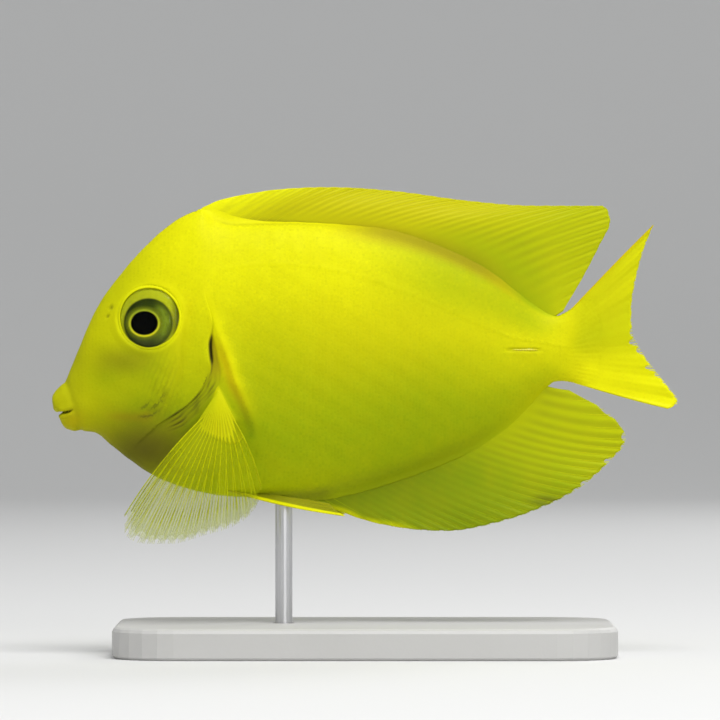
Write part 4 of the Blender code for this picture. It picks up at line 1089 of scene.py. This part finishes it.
def fin_finish(name, clear, roughness=0.42):
    """Thin yellow web or rods. clear gives how see-through it is at foot and edge."""
    made, tree, shader, add = nodes_of(name)
    colour, where = fish_colour(tree, add)
    tree.links.new(colour, shader.inputs["Base Color"])
    if max(clear) > 0:
        marks = add("ShaderNodeVertexColor", layer_name="markings_and_shading")
        solid = add("ShaderNodeMapRange", [("Value", marks.outputs["Alpha"])], From_Min=0.0,
                    From_Max=1.0, To_Min=1 - clear[0], To_Max=1 - clear[1])
        tree.links.new(solid.outputs[0], shader.inputs["Alpha"])
    crease = add("ShaderNodeTexNoise", [("Vector", where)], Scale=1500.0, Detail=4.0)
    bump = add("ShaderNodeBump", [("Height", crease.outputs["Fac"])], Strength=0.3,
               Distance=0.00006)
    tree.links.new(bump.outputs[0], shader.inputs["Normal"])
    make_fleshy(shader, roughness, 0.05, 0.25, (0.0012, 0.0010, 0.0002))
    return made


web_finish = fin_finish("fin_web_skin", (0.0, 0.05))
rod_finish = fin_finish("fin_ray_horn", (0, 0), 0.38)


def dorsal_tones(a):
    """How olive and how orange the back fin is: bright in front, greener behind. Its front share also
    sets the painted light added over the front.
    """
    front = ease(0.20, 0.0, a)
    rear = ease(0.45, 0.8, a)
    return 0.50 - 0.46 * front + 0.14 * rear, 0.30 - 0.28 * front - 0.24 * rear, front


def dorsal_marks(a, v):
    """Duskier in lines between the rays. The thin dark line along the foot and the band behind it are
    painted shade, and the olive towards the foot is partly painted shade.
    """
    olive, orange, front = dorsal_tones(a)
    low = v * line(DORSAL_RAY_LENGTH, a)
    olive = olive + 0.28 * ease(0.6, 0.0, v) * (1 - front)
    marks = fin_marks(a, v, olive, orange, 0.5)
    # Painted light: the front is painted paler so it reads as bright as the lit nape beside it.
    marks[..., 3] = np.clip(marks[..., 3] + front, 0, 1)
    shadow = ease(4.2, 0.8, low) * ease(0.28, 0.5, a) * ease(0.95, 0.75, a)
    marks[..., 1] += 0.20 * shadow
    # A thin dark line of painted shade along the foot.
    marks[..., 2] = 0.20 * hump(low - 0.8, 0.35) * ease(0.05, 0.12, a) * ease(0.6, 0.4, a)
    marks[..., 2] += 0.20 * shadow
    split = ease(0.45, 0.70, v)
    pitches = (DORSAL_RAYS - 1) * np.pi * a
    between = np.sin(pitches) ** 2 * (1 - split) + np.sin(2 * pitches) ** 2 * split
    marks[..., 2] += 0.19 * between * ease(0.1, 0.4, v) * ease(0.01, 0.05, a) * ease(1.0, 0.8, a)
    return marks


def dorsal_ray_marks(a, v):
    olive, orange, front = dorsal_tones(a)
    marks = fin_marks(a, v, olive, orange, 0.4)
    # Painted light on the rays' front, as on the web.
    marks[..., 3] = np.clip(marks[..., 3] + front, 0, 1)
    return marks


dorsal_web = web_piece("dorsal_web", dorsal_surface, DORSAL_RAYS, 40, 0.075, web_finish,
                       dorsal_marks, 0.006)
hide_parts("dorsal_fin")
dorsal_rays = ray_piece("dorsal_rays", dorsal_surface, DORSAL_RAYS, DORSAL_SPINES, 0.125, 0.055,
                        rod_finish, dorsal_ray_marks, 0.28)
for piece in (dorsal_web, dorsal_rays):
    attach(piece, "root")

# Anal fin. The same build as the back fin, three spines and twenty-five soft rays, olive near
# the belly and greener than the flank, with its free edge swung slightly outwards.
ANAL_RAYS = 28
ANAL_SPINES = 3
ANAL_TEARS = ((17, 0.02), (20, 0.035), (23, 0.02), (25, 0.03))
ANAL_ROOT = (32.2, 62.6)
ANAL_EDGE = [(0.0, 37.0, -20.8), (0.06, 41.0, -22.1), (0.13, 45.4, -22.9), (0.21, 50.2, -23.2),
             (0.32, 54.9, -22.6), (0.45, 60.8, -20.9), (0.60, 66.7, -18.15), (0.75, 71.2, -14.4),
             (0.87, 73.4, -11.2), (0.95, 70.7, -7.7), (1.0, 66.2, -5.2)]
ANAL_BOW = [(0.0, 0.0), (0.45, 0.3), (0.85, 0.7), (1.0, 0.1)]


def anal_surface(a, v):
    x = ANAL_ROOT[0] + a * (ANAL_ROOT[1] - ANAL_ROOT[0])
    root_z = line(BELLY, x) + 0.5
    edge = edge_point(ANAL_EDGE, a)
    lean = -1.5 * np.sin(np.pi * np.clip(a, 0, 1))
    flat_x = x * (1 - v) + edge[..., 0] * v
    flat_z = root_z * (1 - v) + edge[..., 1] * v
    ripple = 0.12 * np.sin(8 * np.pi * a + 1) * v * v
    return np.stack([flat_x, lean * v ** 1.6 + ripple,
                     flat_z - 4 * line(ANAL_BOW, a) * v * (1 - v)], -1)


def leading_spines(a, v):
    """Where the bright spines lie along the anal fin's front edge."""
    return np.maximum(ease(0.075, 0.05, a) * ease(0.35, 0.7, v),
                      0.9 * ease(0.17, 0.12, a) * ease(0.70, 0.95, v))


def anal_marks(a, v):
    """Dusky green, partly its own tone and partly painted shade as it faces down, with bright leading
    spines and a dark spot on the edge, brighter behind.
    """
    spines = leading_spines(a, v)
    rear = ease(0.45, 0.85, a)
    marks = fin_marks(a, v, 1.0 - 0.40 * rear - 0.5 * spines, 0.0, 0.15)
    between = np.sin((ANAL_RAYS - 1) * np.pi * a) ** 2
    marks[..., 2] = (0.24 * ease(0.9, 0.3, a) + 0.03) * (1 - spines)
    marks[..., 2] += (0.05 + 0.17 * rear) * between * ease(0.06, 0.25, v)
    marks[..., 2] += 0.42 * hump(a - 0.53, 0.03) * ease(0.80, 0.95, v)
    marks[..., 3] += 0.5 * spines
    return marks


def anal_ray_marks(a, v):
    spines = leading_spines(a, v)
    rear = ease(0.40, 0.80, a)
    # The rays' olive is partly painted shade, as on the web.
    marks = fin_marks(a, v, 0.9 - 0.48 * rear - 0.6 * spines, 0.0, 0.1)
    marks[..., 3] += 0.30 * rear + 0.5 * spines
    return marks


anal_web = web_piece("anal_web", anal_surface, ANAL_RAYS, 36, 0.075, web_finish, anal_marks,
                     0.008, 0.012, 2, ANAL_TEARS)
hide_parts("anal_fin")
anal_rays = ray_piece("anal_rays", anal_surface, ANAL_RAYS, ANAL_SPINES, 0.13, 0.060, rod_finish,
                      anal_ray_marks, 0.28)
for piece in (anal_web, anal_rays):
    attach(piece, "root")

# Tail fin. Twenty rays fan from the end of the tail stem and fork towards the edge, which is torn
# a little. The fin itself is forked, its lower lobe brighter and curled to the near side.
TAIL_TEARS = ((9, 0.03), (10, 0.09), (11, 0.05), (13, 0.08), (14, 0.03))

tail_web = web_piece("tail_web", tail_surface, TAIL_RAYS, 36, 0.105, web_finish, tail_marks, 0.012,
                     0.010, 3, TAIL_TEARS, 0.03, 0.022)
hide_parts("tail_fin")
tail_rays = ray_piece("tail_rays", tail_surface, TAIL_RAYS, 0, 0.115, 0.068, rod_finish, tail_marks,
                      0.25, 0.34)
for piece in (tail_web, tail_rays):
    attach(piece, "root")

# Breast fins. Sixteen bright rays in a web as clear as film, fanned forwards and down from a
# fleshy lobe on the flank, and standing well off the body.
PECTORAL_RAYS = 16
PECTORAL_FAN = (206.0, 326.0)
PECTORAL_EDGE = [(0.0, 9.6, -20.9), (0.08, 9.6, -23.0), (0.2, 11.6, -24.5), (0.4, 15.4, -24.6),
                 (0.6, 19.4, -23.6), (0.8, 23.6, -22.2), (0.92, 25.9, -20.3), (1.0, 26.9, -17.6)]


def pectoral_surface(a, v):
    turn = np.radians(PECTORAL_FAN[0] + a * (PECTORAL_FAN[1] - PECTORAL_FAN[0]))
    root_x = FIN_LOBE[0] + 0.8 * FIN_LOBE_RADII[0] * np.cos(turn)
    root_z = FIN_LOBE[1] + 0.8 * FIN_LOBE_RADII[1] * np.sin(turn)
    edge = edge_point(PECTORAL_EDGE, a)
    flat_x = root_x * (1 - v) + edge[..., 0] * v
    flat_z = root_z * (1 - v) + edge[..., 1] * v
    ax, az = edge[..., 1] - root_z, root_x - edge[..., 0]
    long = np.hypot(ax, az)
    bow = (0.6 - 1.1 * a) * 4 * v * (1 - v)
    start = flank(root_x, root_z) + 0.75
    cup = 1.5 * np.sin(np.pi * np.clip(a, 0, 1)) * v ** 1.5
    out = start * (1 - v) + (11.2 - 2.3 * a) * v - cup + 0.10 * np.sin(10 * np.pi * a) * v * v
    return np.stack([flat_x + ax / long * bow, -out, flat_z + az / long * bow], -1)


def right_hand(surface):
    """The same surface on the fish's other side."""
    def twin(a, v):
        dots = surface(a, v)
        return dots * np.array([1, -1, 1])
    return twin


def pectoral_marks(a, v):
    """Olive, and clearer and paler outwards, where the pale marking thins the web."""
    marks = fin_marks(a, v, 0.60 + 0.15 * ease(0.4, 1, v), 0.0, 0.0)
    marks[..., 3] = ease(0.06, 0.62, v)
    return marks


def pectoral_ray_marks(a, v):
    return fin_marks(a, v, 0.22 + 0.3 * v, 0.0, 1.0)


PAD_TOP = (21.4, -5.0)
PAD_REACH = [(0.0, 0.14), (0.3, 0.14), (0.6, 0.18), (0.8, 0.25), (1.0, 0.33)]


def pad_piece(name, side, finish):
    """The fleshy root of a breast fin: one fan from a point on the flank over the rays' feet."""
    columns, rows = 121, 28
    a = np.linspace(0, 1, columns)
    share = np.linspace(0.03, 1, rows + 1)
    aa, ss = np.meshgrid(a, share, indexing="ij")
    foot = pectoral_surface(aa, line(PAD_REACH, aa))
    x = PAD_TOP[0] * (1 - ss) + foot[..., 0] * ss
    z = PAD_TOP[1] * (1 - ss) + foot[..., 2] * ss
    body = flank(x, z)
    middle = 1 - (2 * aa - 1) ** 2
    over_rays = 0.5 + 0.5 * np.cos(2 * np.pi * (PECTORAL_RAYS - 1) * aa)
    rising = (1 - ss) * body - ss * foot[..., 1]
    out = body + (rising - body) * (1 - 0.6 * (1 - middle) ** 2 * (1 - ss))
    out += (0.30 + 0.10 * middle) * np.sin(np.pi * ss ** 0.8) + 0.05
    out += (0.07 * over_rays - 0.03) * ease(0.35, 0.75, ss)
    inner = (body - 0.3) * (1 - ease(0.5, 0.85, ss)) + (out - 0.14) * ease(0.5, 0.85, ss)
    front = np.stack([x, side * out, z], -1)
    back = np.stack([x, side * inner, z], -1)
    # Painted shade between the raised ribs over the rays' feet, and a painted highlight on the ribs.
    marks = np.stack([0.30 + 0.25 * ease(0.6, 0.0, aa), 0.08 + 0 * aa,
                      0.16 * (1 - over_rays) * ease(0.3, 0.8, ss), 0.15 * over_rays], -1)
    marks = np.clip(marks, 0, 1).reshape(-1, 4)
    dots = np.concatenate([front.reshape(-1, 3), back.reshape(-1, 3)])
    return mesh_piece(name, dots, sheet_faces(columns, rows), finish, np.concatenate([marks, marks]))


clear_finish = fin_finish("clear_web", (0.35, 0.86))
clear_rod_finish = fin_finish("clear_ray", (0.12, 0.60))
for side, suffix in ((-1, "left"), (1, "right")):
    surface = pectoral_surface if side < 0 else right_hand(pectoral_surface)
    web = web_piece("pectoral_web_" + suffix, surface, PECTORAL_RAYS, 36, 0.05, clear_finish,
                    pectoral_marks, 0.03, 0.015, 4)
    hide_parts("pectoral_fin_" + suffix)
    rays = ray_piece("pectoral_rays_" + suffix, surface, PECTORAL_RAYS, 0, 0.125, 0.038,
                     clear_rod_finish, pectoral_ray_marks, 0.42)
    for piece in (web, rays):
        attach(piece, "root")
    pad = pad_piece("pectoral_pad_" + suffix, side, skin_finish)
    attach(pad, "root")

# Belly fins. One spine and five soft rays each, folded back like a shut fan under the belly and
# splayed outwards, bright yellow outside and dark olive-brown towards the belly, partly painted shade.
PELVIC_RAYS = 6
PELVIC_ROOT = [(0.0, 22.4, 1.4, -17.85), (1.0, 24.2, 0.7, -18.4)]
PELVIC_EDGE = [(0.0, 37.4, 4.9, -21.15), (0.5, 36.6, 4.1, -20.75), (1.0, 35.4, 3.1, -19.65)]


def pelvic_marks(a, v):
    """Bright along the outer rays, dark olive-brown at the root and towards the belly, partly painted
    shade.
    """
    inner = np.clip(ease(0.26, 0.50, a) + ease(0.30, 0.12, v), 0, 1)
    return np.stack([0.85 * inner, 0.25 * inner, 0.38 * inner, 0.4 * (1 - inner)], -1)


def pelvic_surface(a, v):
    root = edge_point(PELVIC_ROOT, a)
    edge = edge_point(PELVIC_EDGE, a)
    sag = (1.5 - 2.3 * a) * v * (1 - v)
    v = np.asarray(v)[..., None]
    here = root * (1 - v) + edge * v
    here[..., 2] -= sag
    return here * np.array([1, -1, 1])


for side, suffix in ((-1, "left"), (1, "right")):
    surface = pelvic_surface if side < 0 else right_hand(pelvic_surface)
    web = web_piece("pelvic_web_" + suffix, surface, PELVIC_RAYS, 30, 0.09, web_finish,
                    pelvic_marks, 0.0, 0.0, 5)
    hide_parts("pelvic_fin_" + suffix)
    rays = ray_piece("pelvic_rays_" + suffix, surface, PELVIC_RAYS, 1, 0.18, 0.06, rod_finish,
                     pelvic_marks)
    for piece in (web, rays):
        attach(piece, "root")

# Tail spines. One sharp, forward-pointing lancet of horn lies in a groove on each side of the
# tail stem, hinged at its hind end.
SPINE_LENGTH = 3.6
SPINE_HEIGHT = 0.34
SPINE_THICK = 0.40
SPINE_SINKS_IN = 0.17
SPINE_TAPER = ((0.0, 0.45), (0.12, 0.9), (0.35, 1.0), (0.8, 0.5), (1.0, 0.06))
SPINE_RINGS = 15
SPINE_SIDES = 16

horn_finish, tree, shader, add = nodes_of("spine_horn")
where = add("ShaderNodeTexCoord").outputs["Object"]
growth = add("ShaderNodeTexWave", [("Vector", where)], Scale=900.0, Distortion=2.0)
horn = mixed(tree, (0.64, 0.60, 0.006), (0.54, 0.48, 0.006), growth.outputs["Fac"])
tree.links.new(horn, shader.inputs["Base Color"])
shader.inputs["Roughness"].default_value = 0.25

for side, suffix in ((-1, "left"), (1, "right")):
    spine_rows = []
    for share in np.linspace(0, 1, SPINE_RINGS):
        x = SPINE_SPAN[1] - 0.2 - share * SPINE_LENGTH
        wide = np.interp(share, *zip(*SPINE_TAPER))
        y = float(flank(x, 0.0)) - SPINE_SINKS_IN
        spin = np.linspace(0, 2 * np.pi, SPINE_SIDES, endpoint=False)
        spine_rows.append(np.stack([np.full(SPINE_SIDES, x),
                                    side * (y + SPINE_THICK / 2 * wide * np.cos(spin)),
                                    SPINE_HEIGHT / 2 * wide * np.sin(spin)], 1))
    spine = mesh_piece("spine_" + suffix, np.concatenate(spine_rows),
                       tube_faces(SPINE_RINGS, SPINE_SIDES), horn_finish)
    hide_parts("tail_spine_" + suffix)
    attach(spine, "root")

# Stand. A steel plate with rounded corners in matte off-white paint, and a brushed steel rod
# pushed into a hole in it. Both are kept from the frame and only get their finish here.
paint_finish, tree, shader, add = nodes_of("stand_paint")
where = add("ShaderNodeTexCoord").outputs["Object"]
peel = add("ShaderNodeTexNoise", [("Vector", where)], Scale=1400.0, Detail=3.0)
drift = add("ShaderNodeTexNoise", [("Vector", where)], Scale=60.0, Detail=3.0)
paint = mixed(tree, (0.47, 0.465, 0.45), (0.53, 0.525, 0.51), drift.outputs["Fac"])
tree.links.new(paint, shader.inputs["Base Color"])
bump = add("ShaderNodeBump", [("Height", peel.outputs["Fac"])], Strength=0.25, Distance=0.00008)
tree.links.new(bump.outputs[0], shader.inputs["Normal"])
shader.inputs["Roughness"].default_value = 0.5

steel_finish, tree, shader, add = nodes_of("stand_steel")
where = add("ShaderNodeTexCoord").outputs["Object"]
stretch = add("ShaderNodeMapping", [("Vector", where)])
stretch.inputs["Scale"].default_value = (6000, 6000, 120)
brush = add("ShaderNodeTexNoise", [("Vector", stretch.outputs[0])], Scale=1.0, Detail=4.0)
steel = mixed(tree, (0.50, 0.50, 0.51), (0.68, 0.68, 0.69), brush.outputs["Fac"])
tree.links.new(steel, shader.inputs["Base Color"])
shader.inputs["Metallic"].default_value = 1.0
shader.inputs["Roughness"].default_value = 0.32

for node, finish in (("stand_base", paint_finish), ("stand_rod", steel_finish)):
    kept_node = bpy.data.objects[node]
    for slot in kept_node.material_slots:
        slot.material = finish
